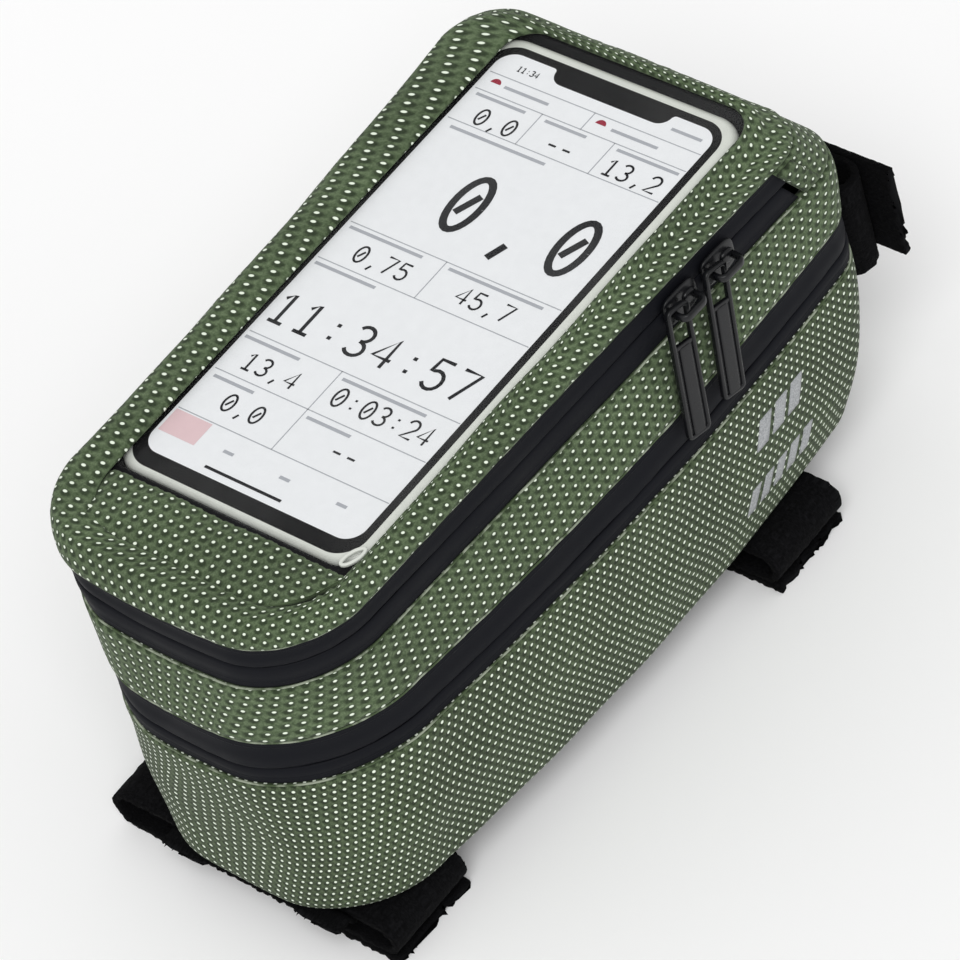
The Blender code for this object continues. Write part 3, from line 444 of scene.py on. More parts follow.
def puckers(u, away, pitch, depth, reach, seed):
    """Gathers beside a seam: waves along it with a wandering pitch, that die out as
    exp(-distance / reach)."""
    random = np.random.default_rng(seed)
    phase = random.uniform(0, 2 * np.pi, 3)
    wander = 2.2 * np.sin(u / (31 * MM) * 2 * np.pi + phase[0])
    wander = wander + 1.4 * np.sin(u / (17 * MM) * 2 * np.pi + phase[1])
    strength = 0.55 + 0.45 * np.sin(u / (47 * MM) * 2 * np.pi + phase[2])
    return depth * strength * np.sin(u * 2 * np.pi / pitch + wander) * np.exp(-np.maximum(away, 0) / reach)


WALL_DOTS, BAND_DOTS, LID_DOTS = (2.32, 2.28), (3.15, 2.5), (3.15, 2.75)  # along and up, in mm


def padded_wall(name, corners, node, dots, outside, seams, seed):
    """A padded band round the bag: its soft cross-section carried round the outline, uneven and
    gathered beside its seams, with the lining on its inner rows."""
    profile = soft_profile(corners, 1.3, 0.7)
    points = around(profile[:, 1], profile[:, 0])
    u = girth(points[np.argmax(profile[:, 1])])
    v = run_along(profile, True)
    outward = np.clip(1 - profile[:, 0] / (2 * MM), 0, 1)[:, None]
    height = profile[:, 1][:, None]
    push = unevenness(u[None, :-1], height, seed, 0.5 * MM)
    for place, pitch, depth, reach in seams:
        push = push + puckers(u[None, :-1], abs(height - place), pitch, depth, reach, seed + 1)
    edge = np.minimum(height - profile[:, 1].min(), profile[:, 1].max() - height)
    push = push * np.clip(edge / (1.2 * MM), 0, 1)
    points = points + facing(points, True, True) * (push * outward)[:, :, None]
    uv = uv_grid(u / (dots[0] * MM), v / (dots[1] * MM))
    wall = patch(points, True, True, uv=uv, inner=profile[:, 0] > 2 * MM)
    made = dressed(surface(name, [wall], outside, LINING), "bag", node)


wall_corners = [(3.0, 62.0), (3.0, 17.8), (5.0, 15.8), (11.0, 15.8), (11.0, 13.3), (2.4, 13.3), (0.7, 14.2),
                (0.0, 16.6), (0.0, 62.0)]
padded_wall("padded_lower_wall", wall_corners, "lower_wall", WALL_DOTS, WALL_GREEN,
            [(62.3 * MM, 6.5 * MM, 0.22 * MM, 4 * MM)], 3)

# Reflective bars: two rows of slanted silver bars printed on the right side of the lower wall.
SILVER, silver = finish("reflective print", 0.4, 0.5)
beads = silver.noise(silver.solid(), 2500.0)
silver.mottle(silver.between(beads, 0.3, 0.7), (134, 137, 140), (176, 178, 180))


def printed_bar(start, width, low, high, slant):
    """A thin slab on the right wall between two heights, leaning along the wall: its places are those
    of the outline and the wall's own unevenness."""
    level = np.linspace(low, high, 9) * MM
    along = (start + np.linspace(0, width, 7)[None, :] + slant * (level[:, None] / MM - low)) * MM
    half = np.arange(HALF_STEPS + REAR_STEPS, ROUND - FRONT_STEPS)
    rows = around(level, np.zeros(9))[:, half]
    column = np.array([np.interp(y, row[:, 1], half) for y, row in zip(along, rows)])
    x = np.array([np.interp(c, half, row[:, 0]) for c, row in zip(column, rows)])
    u = np.interp(column, np.arange(ROUND + 1), girth(around([61.9 * MM], [0.0])[0]))
    push = unevenness(u, level[:, None], 3, 0.5 * MM)
    skins = [np.stack([x + push + lift * MM, along, np.broadcast_to(level[:, None], x.shape)], axis=2)
             for lift in (0.25, -0.3)]
    return patch(np.concatenate([skins[0], skins[1][::-1]]), rows=True, caps=True)


bars = [printed_bar(start, 4.6, 44.0, 52.0, 0.45) for start in (48.5, 55.0, 61.5)]
bars += [printed_bar(start, 3.4, 26.5, 33.5, 0.45) for start in (41.5, 47.0, 52.5, 58.0, 63.5)]
dressed(surface("reflective_bars", bars, SILVER), "bag", None)

# Base: a lined panel set in the turned-in edge, and a stiff plastic board that lies on it inside.
BOARD, board = finish("grey board", 0.5, 0.4)
grain = board.noise(board.solid(), 900.0)
board.mottle(grain, (40, 40, 42), (58, 58, 60))
board.relief(grain, 0.4, 0.1)


def plate(name, low, high, inset, finish_used, node):
    """A flat plate in the bag's outline: rings from the middle of its top out over its edge and back
    to the middle of its bottom, with a slightly rounded edge."""
    share = np.concatenate([np.linspace(0, 1, 8), [1.0], np.linspace(1, 0, 8)])
    level = np.concatenate([np.full(8, high), [(low + high) / 2], np.full(8, low)]) * MM
    bevel = np.concatenate([np.zeros(7), [0.4, 0.0, 0.4], np.zeros(7)])
    points = around(np.full(len(share), 13.3 * MM), (inset + bevel) * MM) * share[:, None, None]
    points[:, :, 2] = level[:, None]
    uv = np.concatenate([points, points[:, :1]], axis=1)[:, :, :2]
    return dressed(surface(name, [patch(points, columns=True, uv=uv)], finish_used), "bag", node)


plate("sewn_base_panel", 13.3, 15.8, 11.3, LINING, "base_panel")
plate("stiff_base_board", 16.1, 17.6, 6.0, BOARD, "base_board")

# Lower zip: two coated black tapes that meet over their coils, sewn all round the bag. Each tape is
# flat, with one stitch line beside its slit.
TAPE, tape = finish("coated tape", 0.6, 0.07)
along_across = tape.add("ShaderNodeSeparateXYZ", {0: tape.uv()})
coat = tape.noise(tape.uv(), 60.0, 4.0)
fine = tape.noise(tape.uv(), 1400.0)
tape.mottle(coat, (16, 17, 21), (25, 26, 31))
tape.feed("Roughness", tape.between(coat, 0.3, 0.7, 0.52, 0.68))
stitch = tape.math("ABSOLUTE", tape.math("SUBTRACT", along_across.outputs[1], 1.6 * MM))
stitch = tape.between(stitch, 0.3 * MM, 0.1 * MM)
dash = tape.math("FRACT", tape.math("DIVIDE", along_across.outputs[0], 2.4 * MM))
dash = tape.between(tape.math("ABSOLUTE", tape.math("SUBTRACT", dash, 0.5)), 0.46, 0.36)
height = tape.math("MULTIPLY_ADD", tape.math("MULTIPLY", stitch, dash), 0.7, tape.math("MULTIPLY", fine, 0.25))
tape.relief(height, 0.6, 0.15)

COIL, coil = finish("nylon coil", 0.38, 0.5)
grain = coil.noise(coil.solid(), 700.0)
coil.mottle(grain, (14, 14, 16), (26, 26, 28))


def zip_tape(name, node, seam, edge, columns, body, seed):
    """Half a zip's tape: its cross-section from the sewn edge to the slit, carried along its run. It
    swells a little over the coil as a half sine and turns in at the slit, which wanders."""
    side = 1 if edge > seam else -1
    t = np.linspace(0, 1, 14)
    height = (edge - side * 0.3) * (1 - t) + (seam + side * 0.14) * t
    front = 0.8 - 0.22 * np.sin(np.clip((t - 0.35) / 0.62, 0, 1) * np.pi) ** 1.5
    front[-1] += 0.3
    back = np.column_stack([np.full(14, 1.6), height])[::-1]
    profile = MM * np.concatenate([np.column_stack([front, height]), back])
    closed = columns is None
    run = np.arange(ROUND) if closed else columns
    points = around(profile[:, 1], profile[:, 0], run)
    u = np.interp(run, np.arange(ROUND + 1), girth(around([seam * MM], [0.8 * MM])[0]))
    push = unevenness(points[:, :, 1], points[:, :, 0] + points[:, :, 2], seed, 0.3 * MM)
    outer = (np.arange(28) < 14)[:, None]
    points = points + facing(points, True, closed) * (push * outer)[:, :, None] * (1 if side < 0 else -1)
    points[13, :, 2] += 0.1 * MM * np.sin(u * 900 + seed) * np.sin(u * 170)
    v = run_along(profile, True)
    u = np.append(u, u[-1] + (u[1] - u[0]))
    uv = uv_grid(u, v)
    dressed(surface(name, [patch(points, True, closed, not closed, uv)], TAPE), body, node)


def zip_coil(name, node, seam, side, columns, body):
    """The nylon coil behind a tape's slit: a rounded bar whose thickness swells once for each turn
    of the coil, 1.3 mm apart."""
    angle = np.linspace(0, 2 * np.pi, 10, endpoint=False)
    profile = MM * np.column_stack([2.9 + 0.85 * np.cos(angle), seam + side * 1.7 + 1.1 * np.sin(angle)])
    closed = columns is None
    run = np.linspace(0, ROUND, 1500, endpoint=False) if closed else np.linspace(columns[0], columns[-1], 1100)
    points = around(profile[:, 1], profile[:, 0], run)
    middle = points.mean(axis=0, keepdims=True)
    turn = run_along(middle[0])
    swell = 0.86 + 0.14 * np.cos(turn * 2 * np.pi / (1.3 * MM))
    points = middle + (points - middle) * swell[None, :, None]
    dressed(surface(name, [patch(points, True, closed, not closed)], COIL), body, node)


LOWER_SEAM, UPPER_SEAM = 67.7, 103.65
zip_tape("lower_zip_tape_low", "lower_zip_bottom_tape", LOWER_SEAM, 62.3, None, "bag", 5)
zip_tape("lower_zip_tape_high", "lower_zip_top_tape", LOWER_SEAM, 77.3, None, "bag", 6)
zip_coil("lower_zip_coil_low", "lower_zip_bottom_coil", LOWER_SEAM, -1, None, "bag")
zip_coil("lower_zip_coil_high", "lower_zip_top_coil", LOWER_SEAM, 1, None, "bag")

# Expansion gusset: a strip of the black lining behind the lower zip, folded inwards along its middle.
gusset_profile = soft_profile(
    [(3.3, 57.3), (3.3, 59.3), (8.3, 65.3), (8.3, 74.3), (3.3, 80.3), (3.3, 82.3),
     (4.1, 82.3), (4.1, 80.6), (9.1, 74.6), (9.1, 65.0), (4.1, 59.0), (4.1, 57.3)], 1.2, 0.35)
points = around(gusset_profile[:, 1], gusset_profile[:, 0])
v = np.linspace(0, 60 * MM, len(gusset_profile) + 1)
uv = uv_grid(girth(points[0]), v)
dressed(surface("folded_gusset", [patch(points, True, True, uv=uv)], LINING), "bag", "expansion_gusset")

# Middle band: the strip of padded fabric between the two zips, gathered a little at both seams.
padded_wall("padded_middle_band", [(3.0, 96.0), (3.0, 77.6), (0.0, 77.6), (0.0, 96.0)], "middle_band",
            BAND_DOTS, GREEN,
            [(77.3 * MM, 7.0 * MM, 0.25 * MM, 5 * MM), (96.3 * MM, 6.0 * MM, 0.22 * MM, 4 * MM)], 11)

# Fold lines: the pale turned edge of the fabric's back, which shows as a thin line at each zip.
FOLD, fold = finish("turned edge", 0.8, 0.2)
patchy = fold.noise(fold.solid(), 220.0, 3.0)
fold.mottle(fold.between(patchy, 0.42, 0.6), (70, 84, 58), (150, 158, 140))


def fold_line(name, height, inset, columns, body):
    """A thin round line that follows the outline at a height, its distance from it a slow wave."""
    closed = columns is None
    run = np.arange(ROUND) if closed else columns
    angle = np.linspace(0, 2 * np.pi, 8, endpoint=False)
    profile = np.column_stack([inset + 0.28 * np.cos(angle), height + 0.28 * np.sin(angle)]) * MM
    points = around(profile[:, 1], profile[:, 0], run)
    points[:, :, 2] += 0.12 * MM * np.sin(run * 0.9) * np.sin(run * 0.23)
    made = surface(name, [patch(points, True, closed, not closed)], FOLD)
    dressed(made, body, None)


fold_line("fold_above_lower_zip", 77.5, 0.5, None, "bag")
fold_line("fold_below_lower_zip", 62.0, 0.55, None, "bag")


# Upper zip: the same coated tapes, from the right side round the rear to the left side. Its lower
# half is sewn to the middle band and its upper half to the lid.
def column_at(height, y):
    """Column on the right side where the outline at a height, in mm, passes a given y."""
    half = slice(HALF_STEPS + REAR_STEPS, ROUND - FRONT_STEPS)
    row = around([height * MM], [0.0])[0]
    return np.interp(y * MM, row[half, 1], np.arange(ROUND)[half])


def run_to(height, y, count):
    """Columns from a place on the left round the rear to the same place on the right."""
    last = column_at(height, y)
    return np.linspace(ROUND - last, last, count)


low_run, high_run = run_to(100, 83.2, 320), run_to(107, 83.2, 320)
zip_tape("upper_zip_tape_low", "upper_zip_bottom_tape", UPPER_SEAM, 96.3, low_run, "bag", 7)
zip_tape("upper_zip_tape_high", "upper_zip_top_tape", UPPER_SEAM, 111.0, high_run, "lid", 8)
zip_coil("upper_zip_coil_low", "upper_zip_bottom_coil", UPPER_SEAM, -1, low_run, "bag")
zip_coil("upper_zip_coil_high", "upper_zip_top_coil", UPPER_SEAM, 1, high_run, "lid")
fold_line("fold_below_upper_zip", 96.1, 0.55, low_run, "bag")

# Lid hinge: a plain strip of the dotted fabric round the front, between the middle band and the lid.
# It stays where it is put, tied to neither the bag nor the lid.
def bending(made, node):
    """Bakes a piece's place into its points and hides the plain node it stands for."""
    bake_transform(made)
    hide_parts(node)


first = column_at(104, 82.65)
hinge_profile = soft_profile([(0.0, 96.6), (0.0, 110.7), (1.6, 110.7), (1.6, 96.6)], 0.8, 0.35)
points = around(hinge_profile[:, 1], hinge_profile[:, 0], np.linspace(first, 2 * ROUND - first, 170))
run = run_along(points[0])
v = np.append(hinge_profile[:, 1], hinge_profile[0, 1])
uv = uv_grid(run / (BAND_DOTS[0] * MM), v / (BAND_DOTS[1] * MM))
inside = hinge_profile[:, 0] > 0.8 * MM
hinge = patch(points, rows=True, caps=True, uv=uv, inner=inside)
bending(surface("lid_hinge_strip", [hinge], GREEN, LINING), "lid_hinge_fabric")

# Zip end tabs: a scrap of the green fabric folded over each end of the upper zip and sewn down.
for side, label in ((1, "right"), (-1, "left")):
    level = np.linspace(97.3, 110.0, 16) * MM
    run = np.linspace(column_at(104, 82.7), column_at(104, 88.4), 14)
    edge = np.minimum(np.minimum(np.arange(14), 13 - np.arange(14)) / 2.0, 1)[None, :]
    end = np.minimum(np.minimum(level - level[0], level[-1] - level) / (1.6 * MM), 1)[:, None]
    under = around(level, np.full(16, -0.32 * MM), run)
    over = around(level, np.full(16, -1.25 * MM), run)
    over = under + (over - under) * np.sqrt(edge * end)[:, :, None]
    points = np.concatenate([over, under[::-1]])
    uv = wrapped(points[:, :, 1:]) / (2.6 * MM)
    points[:, :, 0] *= side
    tab = patch(points, rows=True, caps=True, uv=uv)
    bending(surface("zip_end_patch_" + label, [tab], GREEN), "zip_end_tab_" + label)


# Lid rim: a padded roll of the dotted fabric round the window, pulled over the lid's edge and sewn to
# the upper tape. Its lip lies over the window's edge, further on the left side.
def rounded_round(half, rear, front, rear_corner, front_corner, middle=0.0):
    """A rounded rectangle, in mm, with the columns of the bag's outline, moved across to its middle."""
    x, y = closed_round(*half_round(half, half, 0.0, rear + rear_corner, front - front_corner,
                                    rear_corner, rear_corner, front_corner))
    return np.stack([x + middle, y], axis=1) * MM


opening = rounded_round(40.45, -83.85, 87.55, 20.0, 8.3)
lip = rounded_round(35.15, -84.5, 87.05, 15.0, 8.3, 4.65)


def rim_ring(height, inset, share, level, inside):
    """A ring of the lid's edge: the outline at a height, mixed with an inner outline."""
    ring = around([height * MM], [inset * MM])[0][:, :2] * (1 - share) + inside * share
    return np.column_stack([ring, np.full(len(ring), level * MM)])


rim_rings = np.array([rim_ring(*row) for row in (
    (111.0, 0.0, 0.0, 111.0, lip), (113.0, -0.5, 0.0, 113.3, lip), (115.3, -0.2, 0.0, 115.7, lip),
    (118.8, 0.0, 0.03, 117.9, lip), (118.8, 0.0, 0.2, 118.9, lip), (118.8, 0.0, 0.55, 119.1, lip),
    (118.8, 0.0, 0.9, 118.9, lip), (118.8, 0.0, 1.0, 118.4, lip), (118.8, 0.0, 1.0, 117.9, lip),
    (118.8, 0.0, 0.95, 117.35, lip), (118.8, 0.0, 1.0, 117.35, opening),
    (118.8, 0.0, 1.0, 111.3, opening), (113.0, 2.2, 0.4, 111.0, opening))])
control = np.vstack([rim_rings, rim_rings[:1]])
spans = np.linalg.norm(np.diff(control, axis=0), axis=2).mean(axis=1)
run = np.concatenate([[0.0], np.cumsum(spans)])
even = np.linspace(0, run[-1], 72, endpoint=False)
piece_of = np.clip(np.searchsorted(run, even, side="right") - 1, 0, len(spans) - 1)
share = ((even - run[piece_of]) / spans[piece_of])[:, None, None]
rim = control[piece_of] * (1 - share) + control[piece_of + 1] * share
rim = blurred(rim, run[-1], 0.4)
u = girth(around([114 * MM], [0.0])[0])[None, :-1]
top_side = np.clip((even - run[1] * 0.2) / MM, 0, 1) * np.clip((run[7] + 0.4 * MM - even) / MM, 0, 1)
gather = puckers(u, abs(rim[:, :, 2] - 111 * MM), 7.5 * MM, 0.25 * MM, 3 * MM, 21)
near_end = np.clip((-rim[:, :, 1] - 55 * MM) / (20 * MM), 0, 1)
crease = puckers(u, abs(even[:, None] - run[7]), 9.0 * MM, 0.5 * MM, 4 * MM, 22) * near_end
push = (unevenness(u, even[:, None] * 3, 20, 0.55 * MM) + gather + crease) * top_side[:, None]
rim = rim - facing(rim, True, True) * push[:, :, None]
base_ring = around([118.8 * MM], [0.0])[0][:, :2]
outward = facing(around([112 * MM, 113 * MM], [0.0, 0.0]), False, True)[0][:, :2]
outward = outward * np.sign((outward * base_ring).sum(axis=1))[:, None]
flat_uv = base_ring[None] * 0.65 + opening[None] * 0.35 + outward[None] * (run[4] - even)[:, None, None]
lid_cell = np.array((-LID_DOTS[0], LID_DOTS[1])) * MM
flat_uv = wrapped(flat_uv) / lid_cell
rim_patch = patch(rim, True, True, uv=flat_uv, inner=even > run[9])
dressed(surface("padded_lid_rim", [rim_patch], GREEN, LINING), "lid", "lid_rim")
fold_line("fold_above_upper_zip", 111.1, 0.35, run_to(111, 82.35, 320), "lid")

# Near panel: the padded field of dotted fabric between the window and the rim's near end. It goes
# over into the rim at the right and the near end, and sinks into a crease under the lip at the left.
CLOTH_STEPS = 20


def blown_up(sheet, held, pressure, spare, most, larger=10.0):
    """A sheet after some steps as cloth: air presses on it, it is cut larger than its place by a
    spare share, and it is held where it is sewn. It is worked out larger, at the size of a cushion,
    and no point moves further than the most."""
    high, wide = sheet.shape[:2]
    _, faces, _, _ = patch(sheet)
    mesh = bpy.data.meshes.new("blown sheet")
    mesh.from_pydata(sheet.reshape(-1, 3) * larger, [], faces)
    blown = bpy.data.objects.new("blown sheet", mesh)
    bpy.context.scene.collection.objects.link(blown)
    blown.vertex_groups.new(name="sewn").add(np.flatnonzero(held).tolist(), 1.0, "REPLACE")
    cloth = blown.modifiers.new("cloth", "CLOTH")
    cloth.settings.vertex_group_mass = "sewn"
    cloth.settings.effector_weights.gravity = 0.0
    cloth.settings.use_pressure = True
    cloth.settings.uniform_pressure_force = pressure
    cloth.settings.shrink_min = -spare
    cloth.point_cache.frame_end = CLOTH_STEPS
    for moment in range(1, CLOTH_STEPS + 1):
        bpy.context.scene.frame_set(moment)
    after = np.empty(sheet.size, np.float32)
    settled = blown.evaluated_get(bpy.context.evaluated_depsgraph_get())
    settled.data.vertices.foreach_get("co", after)
    bpy.data.objects.remove(blown)
    bpy.data.meshes.remove(mesh)
    bpy.context.scene.frame_set(1)
    moved = after.reshape(sheet.shape) / larger - sheet
    length = np.linalg.norm(moved, axis=2, keepdims=True)
    return sheet + moved * np.minimum(1, most / np.maximum(length, 1e-9))


across = np.linspace(-1, 1, 110)
WINDOW_END, CREASE = -68.8, -30.5  # y of the panel's edge at the window and x of its crease, in mm
rows_y = np.linspace(-85.6, WINDOW_END, 46)
arc_depth = np.clip(-65.8 - rows_y, 0, None)
half_at = 20.4 + np.sqrt(19.8**2 - arc_depth**2 * 0.98)
x = half_at[:, None] * across[None, :] * MM
y = np.broadcast_to(rows_y[:, None], x.shape) * MM
from_crease = np.clip(x - CREASE * MM, 0, None)
to_window = WINDOW_END * MM - y
z = 118.45 * MM - 1.2 * MM * np.exp(-from_crease / (2.2 * MM)) + 0.2 * MM * np.exp(-to_window / (5 * MM))
to_edge = np.minimum(np.minimum(x - CREASE * MM, 39.8 * MM - x), y + 84.5 * MM)
held = np.clip(to_edge / (4 * MM), 0, 1)
z = z + unevenness(x, y, 31, 0.9 * MM) * held - 0.9 * MM * np.clip(-to_edge / (1.5 * MM), 0, 1)
z = z + puckers(x * 0.5 + y, from_crease, 8.0 * MM, 0.4 * MM, 5 * MM, 33) * held
z = z - 0.4 * MM * np.clip(1 - to_window / (0.8 * MM), 0, 1)
ragged = 0.25 * MM * np.sin(x * 5200) * np.sin(x * 1930 + 1)
y = y + ragged * np.clip(1 - to_window / (1.0 * MM), 0, 1)
top = np.stack([x, y, z], axis=2)
under = top - np.array((0, 0, 1.2 * MM))
sewn_down = (to_edge <= 0) | (to_window < 0.5 * MM)
top = blown_up(top, sewn_down, 3.0, 0.012, 0.7 * MM)
points = np.concatenate([top, under[::-1]])
uv = wrapped(points)[:, :, :2] / lid_cell
near_panel = patch(points, rows=True, caps=True, uv=uv, inner=np.arange(len(points)) >= len(top))
near_panel = surface("padded_near_panel", [near_panel], GREEN, LINING)
dressed(near_panel, "lid", "near_panel")

# Window film: clear flexible plastic sewn under the rim, a little hazy and wavy.
FILM, film = finish("clear film", 0.07, 0.5)
haze = film.noise(film.solid(), 28.0, 3.0)
film.feed("Base Color", linear(240, 242, 240))
film.feed("Alpha", film.between(haze, 0.3, 0.75, 0.006, 0.022))
film.relief(haze, 0.15, 1.0)
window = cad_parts["window_film"]
window.data.materials.clear()
window.data.materials.append(FILM)


# Phone pocket: an open tray of the black lining under the film, with a collar whose rear edge is
# sewn under the near panel.
def rings(plans, levels):
    """Closed rings of a piece with a flat plan, one level in mm for each."""
    level = np.array(levels, float)[:, None, None] * MM
    plans = np.array(plans)
    return np.concatenate([plans, np.broadcast_to(level, (*plans.shape[:2], 1))], axis=2)


inner_wall = rounded_round(39.55, -66.65, 86.65, 7.4, 7.4)
outer_wall = rounded_round(40.15, -67.25, 87.25, 8.0, 8.0)
collar = rounded_round(40.4, -71.5, 87.5, 8.0, 8.0)
middle = np.array((0.0, 10.0 * MM))
shares = np.linspace(0, 1, 6)[:, None, None]
plans = [*(middle + (inner_wall - middle) * shares), inner_wall, collar, collar, outer_wall,
         *(middle + (outer_wall - middle) * shares[::-1])]
points = rings(plans, [107.8] * 6 + [116.4] * 2 + [115.9] * 2 + [107.2] * 6)
uv = np.concatenate([points, points[:, :1]], axis=1)
uv = uv[:, :, :2] + uv[:, :, 2:]
dressed(surface("lined_pocket", [patch(points, columns=True, uv=uv)], LINING), "lid", "phone_pocket")

# Phone: a pale silver shell with rounded edges, a black glass front and a lit display with a notch.
SHELL, shell = finish("phone shell", 0.3, 0.5)
soft_grain = shell.noise(shell.solid(), 300.0)
shell.mottle(soft_grain, (206, 210, 202), (222, 225, 217))
GLASS, glass = finish("phone glass", 0.1, 0.12)
smear = glass.noise(glass.solid(), 60.0, 3.0)
glass.feed("Roughness", glass.between(smear, 0.3, 0.7, 0.08, 0.16))
glass.feed("Base Color", linear(10, 10, 12))


def slab(half, rear, front, corner, middle, low, high, edge):
    """A rounded plate: rings from the middle of its bottom out, up a rounded edge and back to the
    middle of its top. The edge is two quarter circles."""
    turn = np.linspace(0, np.pi / 2, 6)
    inset = edge * (1 - np.concatenate([np.sin(turn), np.cos(turn)]))
    level = np.concatenate([low + edge * (1 - np.cos(turn)), high - edge * (1 - np.sin(turn))])
    plans = [rounded_round(half - cut, rear + cut, front - cut, corner - cut, corner - cut, middle)
             for cut in inset]
    centre = np.array((middle, (rear + front) / 2)) * MM
    plans = [plans[0] * 0 + centre, *plans, plans[0] * 0 + centre]
    return patch(rings(plans, [low, *level, high]), columns=True)


body = surface("phone_shell", [slab(37.85, -65.45, 85.45, 9.0, 1.3, 108.1, 116.2, 2.2)], SHELL)
dressed(body, "lid", "phone_body")
front = surface("phone_glass", [slab(34.5, -64.0, 82.2, 7.0, 1.5, 115.7, 116.4, 0.3)], GLASS)
dressed(front, "lid", "phone_screen")


def inked(name, red, green, blue):
    """A plain printed or lit colour with a faint grain, for the display's parts."""
    made, nodes = finish(name, 0.35, 0.1)
    grain = nodes.noise(nodes.solid(), 400.0)
    light = np.array((red, green, blue))
    nodes.mottle(grain, light * 0.97, light)
    return made


def arc(x, y, across, up, start, end, steps=12):
    """Points of an elliptical arc between two angles in degrees."""
    angle = np.radians(np.linspace(start, end, steps))
    return np.column_stack([x + across * np.cos(angle), y + up * np.sin(angle)])


def on_display(name, parts, used):
    """Flat faces on the display, each part a grid of places from the display's centre in mm with its
    level above the ground."""
    made = surface(name, [patch((part + np.array((1.75, 10.0, 0.0))) * MM) for part in parts], used)
    for face in made.data.polygons:
        if face.normal.z < 0:
            face.flip()
    dressed(made, "lid", None)


def at_level(sides, level):
    """Flat places put at a level."""
    return np.concatenate([sides, np.full((*sides.shape[:2], 1), level)], axis=2)


def directions(line, closed=False):
    """Unit directions of a flat line, along it and square to it."""
    step = np.roll(line, -1, 0) - np.roll(line, 1, 0) if closed else np.gradient(line, axis=0)
    step = step / np.linalg.norm(step, axis=1)[:, None]
    return step, np.column_stack([-step[:, 1], step[:, 0]])


def stroke(line, width, level):
    """A line of even width: each point moved half the width to both sides along the normal."""
    line = np.array(line, float)
    normal = directions(line)[1]
    return at_level(np.array([line - normal * width / 2, line + normal * width / 2]), level)


def fill(line, level):
    """A filled form under a line: its points and their feet on the line's lowest level."""
    line = np.array(line, float)
    foot = np.column_stack([line[:, 0], np.full(len(line), line[:, 1].min())])
    return at_level(np.array([foot, line]), level)


# Heights above the ground, and the display's half width and half length up to its corners, in mm
DISPLAY_LEVEL, LINE_LEVEL, LABEL_LEVEL, NUMBER_LEVEL = 116.42, 116.44, 116.45, 116.47
HALF_DISPLAY_X, HALF_DISPLAY_Y, DISPLAY_CORNER = 32.25, 64.8, 5.0
left_corner, right_corner = [(x, HALF_DISPLAY_Y, DISPLAY_CORNER, DISPLAY_CORNER)
                             for x in (DISPLAY_CORNER - HALF_DISPLAY_X, HALF_DISPLAY_X - DISPLAY_CORNER)]
far_edge = np.concatenate([arc(*left_corner, 180, 90), arc(-17.5, 68.8, 1.0, 1.0, 90, 0, 5),
                           arc(-13.0, 69.2, 3.5, 3.5, 180, 270, 7), arc(15.0, 69.2, 3.5, 3.5, 270, 360, 7),
                           arc(19.5, 68.8, 1.0, 1.0, 180, 90, 5), arc(*right_corner, 90, 0)])
near_edge = np.concatenate([arc(*left_corner, 180, 90), arc(*right_corner, 90, 0)]) * (1, -1)
display = [fill(far_edge, DISPLAY_LEVEL),
           fill([(-HALF_DISPLAY_X, HALF_DISPLAY_Y), (HALF_DISPLAY_X, HALF_DISPLAY_Y)], DISPLAY_LEVEL)]
display[1][0, :, 1] = -HALF_DISPLAY_Y
low_part = np.array([near_edge, np.column_stack([near_edge[:, 0], np.full(len(near_edge), -HALF_DISPLAY_Y)])])
display.append(at_level(low_part, DISPLAY_LEVEL))
on_display("display", display, inked("display white", 234, 236, 238))

# Display's marks: thin lines, grey bars in place of labels, a pink tab, a home bar and plain numbers.
grey_lines = [stroke([(-31.5, y), (32.0, y)], 0.3, LINE_LEVEL)
              for y in (62.2, 56.3, 45.5, 8.0, -4.5, -30.2, -43.0, -56.5)]
grey_lines += [stroke([(x, low), (x, high)], 0.3, LINE_LEVEL) for x, low, high in (
    (0.6, 56.3, 62.2), (-10.85, 45.5, 56.3), (11.0, 45.5, 56.3), (-2.1, -4.5, 8.0), (-3.1, -56.5, -30.2))]
on_display("display_lines", grey_lines, inked("display grey", 168, 171, 176))
labels = [stroke([(left, y), (right, y)], 0.9, LABEL_LEVEL) for y, left, right in (
    (59.4, -25.0, -11.5), (59.4, 7.5, 21.3), (54.8, -30.0, -15.0), (54.8, -9.0, 3.5), (54.8, 12.7, 31.0),
    (43.3, -29.0, -0.2), (6.5, -30.6, -8.4), (6.5, -0.4, 27.7), (-6.2, -31.0, -12.6), (-32.0, -31.3, -14.7),
    (-32.0, -1.6, 23.4), (-45.0, -30.2, -18.0), (-45.0, -1.8, 11.3), (66.0, 20.5, 29.5), (-62.0, -13.0, -10.0),
    (-62.0, 4.0, 7.0), (-62.0, 21.0, 24.0))]
on_display("display_labels", labels, inked("display label", 168, 171, 177))
on_display("display_tab", [stroke([(-26.0, -64.0), (-26.0, -57.0)], 11.0, LABEL_LEVEL)],
           inked("display pink", 222, 194, 197))
on_display("display_buttons", [fill(arc(x, y, 1.5, 1.5, 180, 0), LABEL_LEVEL)
                               for x, y in ((-27.8, 59.4), (4.0, 59.6))], inked("display red", 150, 40, 60))

